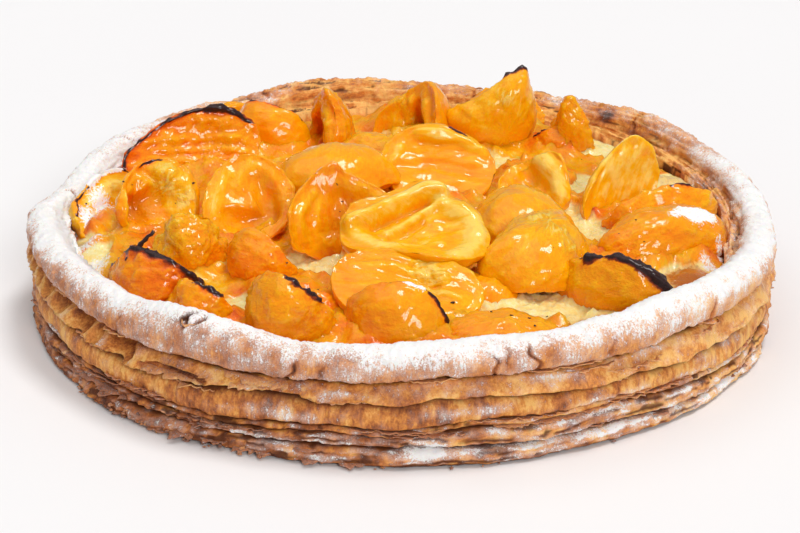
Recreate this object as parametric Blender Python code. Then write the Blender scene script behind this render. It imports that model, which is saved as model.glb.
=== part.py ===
"""An open round apricot tart in a deep puff pastry crust.

The crust is one solid with a rolled rim, layered sides and a flat base. The baked
custard fills it, and halved apricots lie in and on the custard, leaning on one
another. The origin is the centre of the base, +Z is up, and the front is at -Y.
"""

import math

import bmesh
import bpy
from mathutils import Matrix, Vector

MM = 0.001
GAP = 0.35

# Driving sizes of the crust, in millimetres
OUTER_RADIUS = 135.0
BASE_THICKNESS = 6.0
ROLL_WIDTH = 13.4
WALL_FLARE = 7.0
LEDGE_HEIGHT = 32.0
CRUST_SEGMENTS = 72

# Closed tables of angle: value. Angles are in degrees about +Z from +X, so the front is at 270.
RIM_HEIGHTS = {
    0: 37.5, 20: 39.0, 40: 41.5, 65: 38.0, 80: 38.0, 105: 41.5, 126: 38.5, 157: 39.3, 174: 37.0,
    190: 39.5, 205: 40.0, 222: 39.6, 238: 42.8, 257: 38.2, 272: 40.6, 290: 41.2, 312: 43.2, 332: 41.0,
}
# How far the edge stands out past the outer radius. The rim strip laps over its own end at 180.
RADIUS_OFFSETS = {
    0: -2.0, 30: -3.0, 90: -3.0, 140: -4.0, 174: -5.5, 186: 1.5, 225: 1.0, 270: 0.3, 335: 0.5,
}
LEDGE_WIDTHS = {10: 4.0, 60: 5.0, 120: 5.0, 165: 4.0, 188: 1.4, 270: 1.2, 330: 1.8}
# Heights of the seams between the leaves of the side, from the lowest seam up to the groove under the roll
BASE_SEAM = {30: 5.0, 120: 5.6, 190: 5.0, 240: 5.6, 273: 6.4, 284: 5.5, 298: 6.1, 323: 3.8}
THIN_SEAM = {
    30: 12.2, 100: 13.4, 180: 12.0, 241: 9.9, 260: 12.6, 269: 12.0, 281: 14.8, 298: 15.4, 313: 13.2,
    323: 11.0,
}
MIDDLE_SEAM = {
    30: 21.5, 120: 22.5, 200: 21.5, 228: 19.5, 253: 22.4, 264: 21.9, 280: 24.2, 292: 22.6, 312: 21.0,
}
ROLL_SEAM = {
    20: 29.0, 110: 29.5, 180: 31.0, 202: 31.6, 214: 29.4, 228: 27.2, 247: 27.0, 262: 27.9, 276: 30.4,
    298: 29.7, 312: 30.3, 330: 29.2,
}
THIN_LEAF_HEIGHT = 2.3
# For each leaf above the base: the groove at its foot, then how far in it is low down and high up
LEAF_INSETS = {
    "lower_leaf": (3.8, 0.3, 0.6),
    "thin_leaf": (3.4, 1.3, 1.9),
    "middle_leaf": (3.4, 0.5, 0.1),
    "upper_leaf": (3.2, 0.3, 2.4),
}
ROLL_GROOVE = 4.4
# Where the upper leaf has torn open: the middle of the opening, its spread in degrees and its extra depth
TORN_OPEN = (217, 13, 3.0)
# Where the foot of the side has spread: the same three values
SPREAD_FOOT = [(230, 20, 2.4), (270, 28, 1.3)]
# The rolled rim, from its groove over the crest to the ledge inside it: how far in from the outer radius,
# and the height as a share of the way from its groove to the crest
ROLL = [(0.6, 0.12), (-0.5, 0.40), (0.4, 0.70), (3.2, 0.94), (7.4, 1.0), (11.0, 0.80), (13.2, 0.38)]

# Custard, in millimetres
CUSTARD_LEVEL = 30.5
EDGE_DIP = 1.6
# Rings over the custard, as shares of its radius, and how many points each has
CUSTARD_RINGS = [(0.94, 72), (0.8, 36), (0.6, 36), (0.38, 18), (0.17, 9)]
# Places where the custard has risen: x, y, height and spread
CUSTARD_SWELLS = [
    (98, -62, 5.0, 11), (66, -99, 4.5, 10), (34, -88, 2.0, 16), (72, 70, 3.0, 14), (64, 16, 2.5, 12),
    (44, -36, 3.0, 16), (-34, -72, 2.0, 12), (5, 0, 3.0, 45), (-110, -40, 4.0, 14), (99, 27, 5.0, 12),
]

FRUIT_SEGMENTS = 12
# Rings over an apricot half: 0 is the middle of the skin, 1 the rim and 2 the middle of the cut face
FRUIT_RINGS = (0.34, 0.6, 0.82, 1.0, 1.13, 1.36, 1.62)
LIP = 1.6

# One line for each apricot half, those on top first, in millimetres and degrees. x, y and z place the
# middle of its cut face, which looks towards the angle face, leaning tilt away from straight up: 0 is cut
# side up and 180 cut side down. spin turns the long axis within the cut face. Then come half the length and
# half the width, the depth of the flesh and of the stone's hollow, how far its sides (fold) and its ends
# (bend) turn up, and how far its tip is drawn out.
FRUIT = [
    # name, x, y, z, face, tilt, spin, length, width, depth, hollow, fold, bend, tip
    ("apricot_01", 3, -58, 49, 274, 19, 82, 26, 19, 11, 4, 0.25, 0.0, 0),
    ("apricot_02", -23, -36, 44, 282, 63, 182, 14, 22, 14, 6, 0.35, 0.0, 4),
    ("apricot_03", -56, -20, 44, 274, 45, 350, 17, 17, 14, 6, 0.1, 0.0, 0),
    ("apricot_04", -89, -15, 41, 294, 54, 350, 16, 16, 14, 6, 0.25, 0.0, 0),
    ("apricot_05", 12, 17, 43, 275, 35, 87, 22, 18, 14, 2, 0.05, 0.0, 0),
    ("apricot_06", -81, 44, 37, 284, 58, 108, 28, 17, 15, 3, 0.1, 0.05, 0),
    ("apricot_07", 37, 74, 42, 106, 78, 197, 15, 18, 11, 3, 0.1, 0.0, 6),
    ("apricot_08", 46, 6, 39, 249, 39, 55, 15, 16, 12, 4, 0.2, 0.0, 0),
    ("apricot_09", 0, -89, 42, 282, 20, 72, 24, 18, 15, 3, 0.05, 0.0, 0),
    ("apricot_10", -3, -97, 33, 73, 67, 93, 18, 18, 16, 3, 0.1, 0.0, 0),
    ("apricot_11", -36, -98, 36, 66, 62, 73, 15, 18, 16, 3, 0.1, 0.0, 0),
    ("apricot_12", 47, -53, 37, 150, 170, 74, 22, 16, 15, 3, 0.0, 0.0, 0),
    ("apricot_13", 77, 1, 34, 296, 75, 152, 22, 14, 9, 1, 0.1, 0.0, 6),
    ("apricot_14", 91, -31, 32, 126, 160, 95, 25, 14, 15, 3, 0.0, 0.0, 0),
    ("apricot_15", 70, -68, 34, 64, 47, 60, 22, 19, 16, 3, 0.1, 0.0, 0),
    ("apricot_16", -103, 1, 32.5, 328, 42, 79, 21, 16, 13, 4, 0.15, 0.0, 0),
    ("apricot_17", -83, -68, 33, 61, 59, 87, 18, 16, 15, 3, 0.1, 0.0, 0),
    ("apricot_18", -72, -48, 37, 94, 75, 87, 11, 16, 13, 3, 0.1, 0.0, 0),
    ("apricot_19", -48, -59, 37, 58, 71, 90, 13, 13, 12, 3, 0.1, 0.0, 0),
    ("apricot_20", -52, 74, 33, 63, 76, 86, 17, 17, 13, 3, 0.1, 0.1, 0),
    ("apricot_21", -33, 66, 35, 215, 86, 174, 17, 14, 13, 5, 0.2, 0.0, 5),
    ("apricot_22", 6, 73, 35, 222, 81, 185, 17, 15, 12, 5, 0.3, 0.0, 5),
    ("apricot_23", 67, 68, 37, 48, 75, 181, 15, 10, 9, 3, 0.1, 0.0, 4),
    ("apricot_24", 61, 68, 33, 77, 61, 93, 11, 10, 9, 3, 0.1, 0.0, 0),
    ("apricot_25", -26, 12, 36, 283, 161, 5, 21, 23, 17, 3, 0.0, 0.0, 0),
    ("apricot_26", 41, -27, 35, 173, 165, 56, 19, 18, 16, 3, 0.0, 0.0, 0),
    ("apricot_27", 93, -4, 34, 111, 59, 85, 21, 15, 13, 3, 0.1, 0.0, 0),
    ("apricot_28", -66, -87, 33, 54, 62, 82, 12, 13, 12, 3, 0.1, 0.0, 0),
    ("apricot_29", -27, -86, 31, 81, 68, 0, 10, 10, 10, 3, 0.1, 0.0, 0),
    ("apricot_30", -9, 45, 33, 219, 168, 72, 18, 12, 12, 3, 0.0, 0.0, 0),
    ("apricot_31", 27, -72, 28, 251, 155, 0, 12, 12, 10, 3, 0.0, 0.0, 0),
    ("apricot_32", 32, -105, 30, 98, 173, 95, 22, 12, 9, 3, 0.0, 0.0, 0),
    # Halves that lie low behind the others, where the front hides them
    ("apricot_33", -52, 22, 36, 60, 14, 40, 17, 15, 12, 2, 0.0, 0.0, 0),
    ("apricot_34", 6, -18, 37, 300, 12, 70, 17, 15, 12, 2, 0.0, 0.0, 0),
    ("apricot_35", 10, 52, 36, 100, 20, 90, 18, 14, 12, 2, 0.0, 0.0, 0),
    ("apricot_36", 40, 101, 35, 265, 30, 90, 15, 12, 11, 2, 0.1, 0.0, 2),
    ("apricot_37", 4, 102, 34, 265, 25, 90, 13, 11, 10, 2, 0.1, 0.0, 2),
    ("apricot_38", -66, 89, 33, 300, 25, 60, 15, 12, 11, 2, 0.1, 0.0, 0),
    ("apricot_39", 50, 34, 35, 80, 15, 20, 15, 13, 12, 2, 0.0, 0.0, 0),
    ("apricot_40", -38, -76, 34, 80, 20, 90, 13, 11, 11, 2, 0.0, 0.0, 0),
    ("apricot_41", -88, -44, 34, 70, 20, 90, 13, 11, 11, 2, 0.0, 0.0, 0),
]
# How far the rims of some halves reach, at angles round the cut face, as shares of their ovals
OUTLINES = {
    "apricot_01": {
        16: 0.95, 41: 0.94, 60: 0.93, 77: 1.2, 90: 1.2, 104: 1.0, 125: 0.9, 157: 0.97, 184: 0.97, 220: 1.03,
        256: 0.9, 277: 1.03, 289: 1.14, 303: 1.16, 326: 1.06, 351: 1.0,
    },
    "apricot_02": {
        0: 1.16, 9: 1.07, 20: 1.01, 34: 0.95, 85: 0.94, 107: 1.02, 125: 1.1, 140: 1.0, 270: 0.95, 304: 0.94,
        328: 0.86, 347: 0.88,
    },
    "apricot_06": {0: 0.97, 30: 0.93, 60: 1.0, 90: 1.0, 120: 1.0, 150: 1.08, 180: 1.08, 240: 1.0, 300: 1.0},
    "apricot_07": {
        5: 1.15, 25: 0.98, 48: 0.85, 83: 0.85, 114: 0.95, 140: 1.05, 212: 0.95, 240: 1.2, 256: 1.28, 275: 1.08,
        300: 0.86, 330: 0.82, 350: 0.98,
    },
    "apricot_08": {0: 0.9, 30: 1.0, 60: 0.95, 100: 1.08, 134: 0.9, 160: 0.85, 200: 0.8, 240: 0.75, 317: 0.8},
    "apricot_12": {0: 1.2, 30: 1.25, 50: 1.5, 72: 1.12, 90: 0.95, 140: 1.0, 180: 1.1, 225: 0.9, 270: 1.0},
    "apricot_13": {
        25: 1.0, 42: 0.95, 70: 1.0, 97: 1.05, 120: 0.88, 230: 1.0, 282: 0.95, 310: 1.2, 329: 1.1, 353: 0.98,
    },
    "apricot_16": {80: 1.0, 130: 0.92, 167: 1.05, 187: 1.15, 204: 1.35, 231: 1.05, 255: 0.85, 300: 0.9},
    "apricot_18": {
        8: 1.35, 34: 1.1, 50: 1.15, 90: 0.95, 118: 0.95, 143: 0.85, 179: 0.95, 300: 0.85, 340: 1.25,
    },
    "apricot_21": {0: 1.0, 30: 0.85, 60: 0.6, 90: 0.55, 120: 0.65, 160: 0.9, 210: 1.0, 300: 1.0},
    "apricot_22": {12: 0.95, 42: 1.0, 85: 1.4, 104: 1.5, 140: 1.0, 272: 0.8, 293: 1.05, 322: 1.15, 349: 1.0},
    "apricot_23": {
        0: 1.0, 26: 0.8, 53: 0.85, 81: 0.95, 136: 0.95, 186: 1.05, 223: 1.25, 242: 1.3, 280: 1.05, 319: 0.75,
    },
}


def around(table, angle):
    """The value at this angle on a smooth closed curve through the table's values."""
    angles = sorted(table)
    angle %= 360.0
    before = max((a for a in angles if a <= angle), default=angles[-1] - 360)
    after = min((a for a in angles if a > angle), default=angles[0] + 360)
    share = (angle - before) / (after - before)
    share = share * share * (3 - 2 * share)
    return table[before % 360] * (1 - share) + table[after % 360] * share


def smoothstep(low, high, value):
    share = min(1.0, max(0.0, (value - low) / (high - low)))
    return share * share * (3 - 2 * share)


def wave(angle, turns, start):
    return math.sin(math.radians(turns * angle + start))


def bump(angle, middle, spread, height):
    """A smooth bump round one angle of the tart."""
    away = (angle - middle + 180) % 360 - 180
    return height * math.exp(-((away / spread) ** 2))


def crag(angle, number):
    """The unevenness of a leaf's edge, different for each leaf."""
    return (
        0.35 * wave(angle, 7 + 2 * number, 70 * number)
        + 0.3 * wave(angle, 13 + number, 40 * number)
        + 0.3 * wave(angle, 23 - 2 * number, 110 * number)
    )


def inner_radius(angle, height):
    """The radius of the crust's inner wall, which the custard fills."""
    top = OUTER_RADIUS + around(RADIUS_OFFSETS, angle) - ROLL_WIDTH - around(LEDGE_WIDTHS, angle)
    share = (LEDGE_HEIGHT - height) / (LEDGE_HEIGHT - BASE_THICKNESS)
    return top + 0.4 * wave(angle, 9, 30) - WALL_FLARE * share


def leaf_sections(angle, outer):
    """The layered side at this angle, from the foot up to the groove under the roll."""
    foot_edge = outer + sum(bump(angle, *spread) for spread in SPREAD_FOOT) + crag(angle, 0)
    first = around(BASE_SEAM, angle)
    section = [(foot_edge - 2.6, 0.0), (foot_edge, 0.3 * first), (foot_edge - 0.7, 0.75 * first)]
    thin = around(THIN_SEAM, angle)
    seams = [first, thin - THIN_LEAF_HEIGHT, thin, around(MIDDLE_SEAM, angle), around(ROLL_SEAM, angle)]
    torn = bump(angle, *TORN_OPEN)
    for number, (groove, low, high) in enumerate(LEAF_INSETS.values()):
        foot, top = seams[number], seams[number + 1]
        edge = outer + crag(angle, number + 1)
        opened = torn if number == 3 else 0.0
        section.append((edge - groove, foot))
        section.append((edge - low, foot + 0.3 * (top - foot)))
        section.append((edge - high - opened, foot + 0.72 * (top - foot)))
    section.append((outer - ROLL_GROOVE - torn, seams[-1]))
    return section


def crust_section(angle):
    """Radius and height of the crust's outline at this angle, from the foot round to the inner floor."""
    outer = OUTER_RADIUS + around(RADIUS_OFFSETS, angle)
    section = leaf_sections(angle, outer)
    groove = section[-1][1]
    crest = around(RIM_HEIGHTS, angle) + 0.3 * wave(angle, 17, 0)
    for inset, share in ROLL:
        section.append((outer - inset + 0.3 * wave(angle, 11, 20), groove + share * (crest - groove)))
    ledge = inner_radius(angle, LEDGE_HEIGHT)
    width = around(LEDGE_WIDTHS, angle)
    section.append((ledge + 0.55 * width, LEDGE_HEIGHT + 1.6 + 0.5 * wave(angle, 13, 0)))
    section.append((ledge, LEDGE_HEIGHT))
    section.append((inner_radius(angle, BASE_THICKNESS), BASE_THICKNESS))
    return section


def closed_of_revolution(name, sections, points, low_pole, high_pole):
    """A closed mesh from one outline for each angle, with so many points a ring and a pole at each end."""
    mesh = bmesh.new()
    rings = []
    for level, count in enumerate(points):
        ring = []
        for number in range(0, len(sections), len(sections) // count):
            angle = math.tau * number / len(sections)
            radius, height = sections[number][level]
            point = (radius * math.cos(angle), radius * math.sin(angle), height)
            ring.append(mesh.verts.new(Vector(point) * MM))
        rings.append(ring)
    join_rings(mesh, rings, Vector((0, 0, low_pole)) * MM, Vector((0, 0, high_pole)) * MM)
    return mesh_object(name, mesh)


def join_rings(mesh, rings, first_pole, last_pole):
    """Faces between rings, each with as many points as the last or half as many, and a fan at each end."""
    first = mesh.verts.new(first_pole)
    last = mesh.verts.new(last_pole)
    for k, vert in enumerate(rings[0]):
        mesh.faces.new((first, rings[0][(k + 1) % len(rings[0])], vert))
    for k, vert in enumerate(rings[-1]):
        mesh.faces.new((last, vert, rings[-1][(k + 1) % len(rings[-1])]))
    for lower, upper in zip(rings, rings[1:]):
        step = len(lower) // len(upper)
        for k, vert in enumerate(upper):
            corner = lower[step * k + step - 1]
            if step == 2:
                mesh.faces.new((lower[2 * k], corner, vert))
            after = (k + 1) % len(upper)
            mesh.faces.new((corner, lower[step * after], upper[after], vert))


def mesh_object(name, mesh):
    data = bpy.data.meshes.new(name)
    bmesh.ops.triangulate(mesh, faces=mesh.faces)
    mesh.to_mesh(data)
    mesh.free()
    data.shade_smooth()
    data.set_sharp_from_angle(angle=math.radians(50))
    made = bpy.data.objects.new(name, data)
    bpy.context.scene.collection.objects.link(made)
    return made


def crust():
    sections = [crust_section(360 * k / CRUST_SEGMENTS) for k in range(CRUST_SEGMENTS)]
    points = [CRUST_SEGMENTS] * len(sections[0])
    return closed_of_revolution("crust", sections, points, 0.0, BASE_THICKNESS)


def custard_height(x, y):
    """The custard's baked surface, in millimetres: nearly level, with the places where it rose."""
    height = CUSTARD_LEVEL + 0.5 * math.sin(x / 9 + 1) * math.sin(y / 11)
    for swell_x, swell_y, rise, spread in CUSTARD_SWELLS:
        away = math.hypot(x - swell_x, y - swell_y) / spread
        height += rise * math.exp(-away * away)
    return height


def custard():
    """The custard, from the crust's floor up to its surface."""
    sections = []
    for k in range(CRUST_SEGMENTS):
        angle = 360 * k / CRUST_SEGMENTS
        direction = Vector((math.cos(math.radians(angle)), math.sin(math.radians(angle))))
        rim = custard_height(*(direction * inner_radius(angle, LEDGE_HEIGHT))) - EDGE_DIP
        edge = inner_radius(angle, min(rim, LEDGE_HEIGHT)) - GAP
        section = [(inner_radius(angle, BASE_THICKNESS) - GAP, BASE_THICKNESS + GAP), (edge, rim)]
        for share, points in CUSTARD_RINGS:
            section.append((edge * share, custard_height(*(direction * edge * share))))
        sections.append(section)
    points = [CRUST_SEGMENTS, CRUST_SEGMENTS] + [count for share, count in CUSTARD_RINGS]
    return closed_of_revolution("custard", sections, points, BASE_THICKNESS + GAP, custard_height(0, 0))


def rim_reach(name, phi, seed):
    """How far a half's rim reaches at this angle, as a share of its oval."""
    if name in OUTLINES:
        return around(OUTLINES[name], math.degrees(phi))
    return 1 + 0.05 * math.sin(2 * phi + seed) + 0.035 * math.sin(3 * phi + 1.7 * seed)


def fruit_point(half, around_ring, phi, seed):
    """A point of an apricot half in its own frame: +Z looks out of the cut face, +X is its long axis."""
    length, width, depth, hollow, fold, bend, tip = half[7:]
    if around_ring <= 1:
        out = math.sin(around_ring * math.pi / 2) ** 0.92
        up = -depth * math.cos(around_ring * math.pi / 2)
    else:
        inward = around_ring - 1
        out = 1 - inward
        up = LIP * math.sin(min(inward / 0.22, 1.0) * math.pi / 2)
        up -= (LIP + hollow) * smoothstep(0.25, 0.8, inward)
    reach = rim_reach(half[0], phi, seed)
    along = length * out * reach * math.cos(phi) + tip * max(math.cos(phi), 0.0) ** 4 * out**2
    across = width * out * reach * math.sin(phi)
    up += 0.06 * width * out**3 * math.sin(3 * phi + 2.3 * seed)
    up += fold * across * across / width + bend * along * along / length
    across *= 1 - 0.3 * abs(fold) * (across / width) ** 2
    along *= 1 - 0.3 * abs(bend) * (along / length) ** 2
    return Vector((along, across, up))


def apricot_half(number, half):
    """One apricot half in its place."""
    name, x, y, z, face, tilt, spin = half[:7]
    place = (
        Matrix.Translation(Vector((x, y, z)) * MM)
        @ Matrix.Rotation(math.radians(face), 4, "Z")
        @ Matrix.Rotation(math.radians(tilt), 4, "Y")
        @ Matrix.Rotation(math.radians(spin), 4, "Z")
    )
    mesh = bmesh.new()
    rings = []
    for at in FRUIT_RINGS:
        turn = math.tau / FRUIT_SEGMENTS
        ring = [fruit_point(half, at, k * turn, number) * MM for k in range(FRUIT_SEGMENTS)]
        rings.append([mesh.verts.new(point) for point in ring])
    skin_pole = fruit_point(half, 0.0, 0.0, number) * MM
    hollow_pole = fruit_point(half, 2.0, 0.0, number) * MM
    join_rings(mesh, rings, skin_pole, hollow_pole)
    mesh.transform(place)
    return mesh_object(name, mesh)


def grown(obj):
    """A copy of an object with its surface moved outwards by the gap between touching pieces."""
    mesh = bmesh.new()
    mesh.from_mesh(obj.data)
    mesh.normal_update()
    moved = [(vert, vert.normal * GAP * MM) for vert in mesh.verts]
    for vert, step in moved:
        vert.co += step
    return mesh_object(obj.name + "_cutter", mesh)


def near(one, other):
    """Whether the boxes round two objects meet."""
    boxes = []
    for obj in (one, other):
        points = [vert.co for vert in obj.data.vertices]
        boxes.append([(min(p[k] for p in points), max(p[k] for p in points)) for k in range(3)])
    return all(a[0] <= b[1] and b[0] <= a[1] for a, b in zip(*boxes))


def cut_away(target, cutters):
    """Cuts the target back from what lies on or beside it, and drops any loose scrap."""
    touching = [cutter for cutter in cutters if near(target, cutter)]
    for cutter in touching:
        boolean = target.modifiers.new(cutter.name, "BOOLEAN")
        boolean.operation = "DIFFERENCE"
        boolean.object = cutter
    if not touching:
        return
    graph = bpy.context.evaluated_depsgraph_get()
    data = bpy.data.meshes.new_from_object(target.evaluated_get(graph))
    target.modifiers.clear()
    target.data = data
    keep_largest_body(data)


def keep_largest_body(data):
    mesh = bmesh.new()
    mesh.from_mesh(data)
    bmesh.ops.remove_doubles(mesh, verts=mesh.verts, dist=0.02 * MM)
    left = set(mesh.faces)
    bodies = []
    while left:
        body, edge_of = set(), [left.pop()]
        while edge_of:
            face = edge_of.pop()
            body.add(face)
            for edge in face.edges:
                edge_of.extend(other for other in edge.link_faces if other in left)
                left.difference_update(edge.link_faces)
        bodies.append(body)
    largest = max(bodies, key=lambda body: sum(face.calc_area() for face in body))
    scraps = [face for body in bodies if body is not largest for face in body]
    bmesh.ops.delete(mesh, geom=scraps, context="FACES")
    bmesh.ops.triangulate(mesh, faces=mesh.faces)
    mesh.to_mesh(data)
    mesh.free()


def material(name, colour, roughness):
    made = bpy.data.materials.new(name)
    made.use_nodes = True
    surface = made.node_tree.nodes["Principled BSDF"]
    surface.inputs["Base Color"].default_value = (*colour, 1.0)
    surface.inputs["Roughness"].default_value = roughness
    surface.inputs["Metallic"].default_value = 0.0
    return made


def main():
    for obj in list(bpy.data.objects):
        bpy.data.objects.remove(obj)
    pastry = crust()
    filling = custard()
    fruit = [apricot_half(number, half) for number, half in enumerate(FRUIT)]
    cutters = [grown(obj) for obj in fruit + [filling, pastry]]
    for number, half in enumerate(fruit):
        cut_away(half, cutters[:number] + cutters[-2:])
    for cutter in cutters:
        bpy.data.objects.remove(cutter)
    pastry.data.materials.append(material("baked_pastry", (0.56, 0.32, 0.13), 0.75))
    filling.data.materials.append(material("custard", (0.86, 0.62, 0.28), 0.5))
    flesh = material("apricot_flesh", (0.90, 0.42, 0.04), 0.25)
    for half in fruit:
        half.data.materials.clear()
        half.data.materials.append(flesh)


main()
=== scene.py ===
"""The looks of the open apricot tart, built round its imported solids.

The crust, the custard and each apricot half are replaced by finer pieces of the same form, with
their flakes, wrinkles and burnt edges. Torn sheets of pastry, crumbs and burnt specks are added
as mesh, and icing sugar in the materials. Lengths are in millimetres until a mesh is made, angles
are in degrees about +Z from +X, and the front is at -Y, which is 270 degrees.
"""

import math
from itertools import pairwise

import bpy
import numpy as np
from mathutils import Matrix, Vector
from mathutils.bvhtree import BVHTree

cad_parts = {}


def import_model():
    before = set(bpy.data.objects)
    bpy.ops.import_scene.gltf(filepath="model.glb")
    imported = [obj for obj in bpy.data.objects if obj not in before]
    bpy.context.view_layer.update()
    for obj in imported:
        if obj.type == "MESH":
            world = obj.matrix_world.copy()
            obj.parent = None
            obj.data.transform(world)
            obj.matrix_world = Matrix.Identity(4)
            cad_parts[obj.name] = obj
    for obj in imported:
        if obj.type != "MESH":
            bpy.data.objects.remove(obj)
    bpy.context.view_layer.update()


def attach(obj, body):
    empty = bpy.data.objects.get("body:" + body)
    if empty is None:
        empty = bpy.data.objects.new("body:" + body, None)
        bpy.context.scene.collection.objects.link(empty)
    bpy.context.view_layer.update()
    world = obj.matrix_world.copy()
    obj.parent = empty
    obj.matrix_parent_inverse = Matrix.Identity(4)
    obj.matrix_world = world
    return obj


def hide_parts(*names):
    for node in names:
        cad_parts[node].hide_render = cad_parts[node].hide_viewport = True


MM = 0.001
RANDOM_SEED = 7

# Driving sizes of the crust, as in the part's source
OUTER_RADIUS = 135.0
BASE_THICKNESS = 6.0
ROLL_WIDTH = 13.4
WALL_FLARE = 7.0
LEDGE_HEIGHT = 32.0
GAP = 0.35
THIN_LEAF_HEIGHT = 2.3
ROLL_GROOVE = 4.4

# Closed tables of angle: value, for the crest, the outer radius, the ledge and the seams of the side
RIM_HEIGHTS = {
    0: 37.5, 20: 39.0, 40: 41.5, 65: 38.0, 80: 38.0, 105: 41.5, 126: 38.5, 157: 39.3, 174: 37.0,
    190: 39.5, 205: 40.0, 222: 39.6, 238: 42.8, 257: 38.2, 272: 40.6, 290: 41.2, 312: 43.2, 332: 41.0,
}
RADIUS_OFFSETS = {
    0: -2.0, 30: -3.0, 90: -3.0, 140: -4.0, 174: -5.5, 186: 1.5, 225: 1.0, 270: 0.3, 335: 0.5,
}
LEDGE_WIDTHS = {10: 4.0, 60: 5.0, 120: 5.0, 165: 4.0, 188: 1.4, 270: 1.2, 330: 1.8}
BASE_SEAM = {30: 5.0, 120: 5.6, 190: 5.0, 240: 5.6, 273: 6.4, 284: 5.5, 298: 6.1, 323: 3.8}
THIN_SEAM = {
    30: 12.2, 100: 13.4, 180: 12.0, 241: 9.9, 260: 12.6, 269: 12.0, 281: 14.8, 298: 15.4, 313: 13.2,
    323: 11.0,
}
MIDDLE_SEAM = {
    30: 21.5, 120: 22.5, 200: 21.5, 228: 19.5, 253: 22.4, 264: 21.9, 280: 24.2, 292: 22.6, 312: 21.0,
}
ROLL_SEAM = {
    20: 29.0, 110: 29.5, 180: 31.0, 202: 31.6, 214: 29.4, 228: 27.2, 247: 27.0, 262: 27.9, 276: 30.4,
    298: 29.7, 312: 30.3, 330: 29.2,
}
# Where the upper leaf is torn open and where the foot has spread: the angle, the spread and how far
TORN_OPEN = (217, 13, 3.0)
SPREAD_FOOT = [(230, 20, 2.4), (270, 28, 1.3)]
# The roll's outline: how far in from the outer radius, and the share of the way up to the crest
ROLL = [(0.6, 0.12), (-0.5, 0.40), (0.4, 0.70), (3.2, 0.94), (7.4, 1.0), (11.0, 0.80), (13.2, 0.38)]

# The leaves of the side from the foot up. First the depth of the groove at the leaf's foot, how far in
# it is low down and high up, the share of it that the creases below and above take, and its rings of
# points. Then how rough it is, how deep its level lines and its upright streaks are, how far its fine
# streaks run level, from upright at 0, and how dark it is baked, from golden at 0 to burnt at 1.
LEAVES = [
    (2.6, 0.0, 0.7, 0.45, 0.24, 10, 0.50, 0.34, 0.10, 0.9, 0.44),
    (4.2, 0.3, 0.6, 0.26, 0.32, 10, 0.40, 0.34, 0.12, 0.9, 0.46),
    (3.8, 1.2, 1.8, 0.45, 0.42, 6, 0.22, 0.14, 0.10, 0.6, 0.40),
    (3.8, 0.4, 0.4, 0.18, 0.55, 13, 0.24, 0.06, 0.34, 0.1, 0.42),
    (3.8, 0.1, 2.0, 0.10, 0.30, 16, 0.14, 0.03, 0.10, 0.4, 0.34),
]
THIN_LEAF = 2
MIDDLE_LEAF = 3
UPPER_LEAF = 4
SIDE_COLUMNS = 1440
ROLL_STEPS = 6
# How far the seams here wander from those of the solids
SEAM_WANDER = 0.8
# Open bubbles in the torn upper leaf: the angle, half the width in degrees, how far up the leaf the
# middle is and half the height, as shares of the leaf, and the depth
BUBBLES = [
    (190.6, 1.9, 0.50, 0.34, 2.0), (195.2, 1.9, 0.42, 0.36, 2.4), (199.6, 1.8, 0.52, 0.38, 2.6),
    (204.2, 2.0, 0.50, 0.40, 3.0), (209.4, 2.4, 0.56, 0.44, 3.6), (215.6, 2.8, 0.46, 0.46, 4.2),
    (220.4, 1.5, 0.40, 0.36, 2.8), (226.0, 3.2, 0.50, 0.50, 5.2), (236.0, 6.4, 0.20, 0.30, 3.4),
    (253.5, 5.0, 0.02, 0.24, 3.4),
]
# Cracks across the roll: the angle, the depth, and the shares of the way over the roll between which
# each runs
ROLL_CRACKS = [
    (178.5, 2.2, 0.1, 0.8), (239.2, 2.6, 0.36, 0.54), (238.6, 2.2, 0.38, 0.5), (239.9, 2.0, 0.4, 0.52),
    (255.2, 0.9, 0.06, 0.3), (258.4, 0.5, 0.08, 0.26), (281.4, 0.9, 0.06, 0.34), (287.6, 1.2, 0.06, 0.42),
    (284.6, 0.5, 0.2, 0.4), (300, 0.4, 0.1, 0.3), (196, 0.5, 0.1, 0.3), (226, 0.5, 0.1, 0.3),
    (318, 0.6, 0.1, 0.3), (10, 0.6, 0.1, 0.4), (76, 1.0, 0.2, 0.7), (117, 0.8, 0.2, 0.6),
    (41, 0.8, 0.2, 0.7), (152, 0.7, 0.3, 0.7),
]
# Icing sugar on the roll by angle, from bare at 0 to thick at 1
ROLL_POWDER = {
    0: 0.95, 14: 0.8, 28: 0.45, 45: 0.25, 75: 0.12, 105: 0.12, 122: 0.3, 136: 0.45, 150: 0.7, 165: 0.9,
    200: 1.0, 300: 1.0,
}
# How far down the outer side of the roll the sugar reaches by angle
ROLL_POWDER_REACH = {
    188: 0.66, 200: 0.56, 215: 0.50, 232: 0.48, 243: 0.42, 252: 0.36, 261: 0.44, 268: 0.64, 278: 0.66,
    284: 0.5, 291: 0.46, 300: 0.54, 312: 0.64, 330: 0.72, 350: 0.8, 90: 0.4, 150: 0.8,
}
# Burnt spots on the roll: the angle, how far over the roll, and how burnt
ROLL_BURNS = [
    (47.5, 0.7, 0.6), (40.0, 0.78, 0.45), (239.2, 0.46, 0.1), (86.0, 0.7, 0.3), (118.0, 0.72, 0.3),
]
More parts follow.
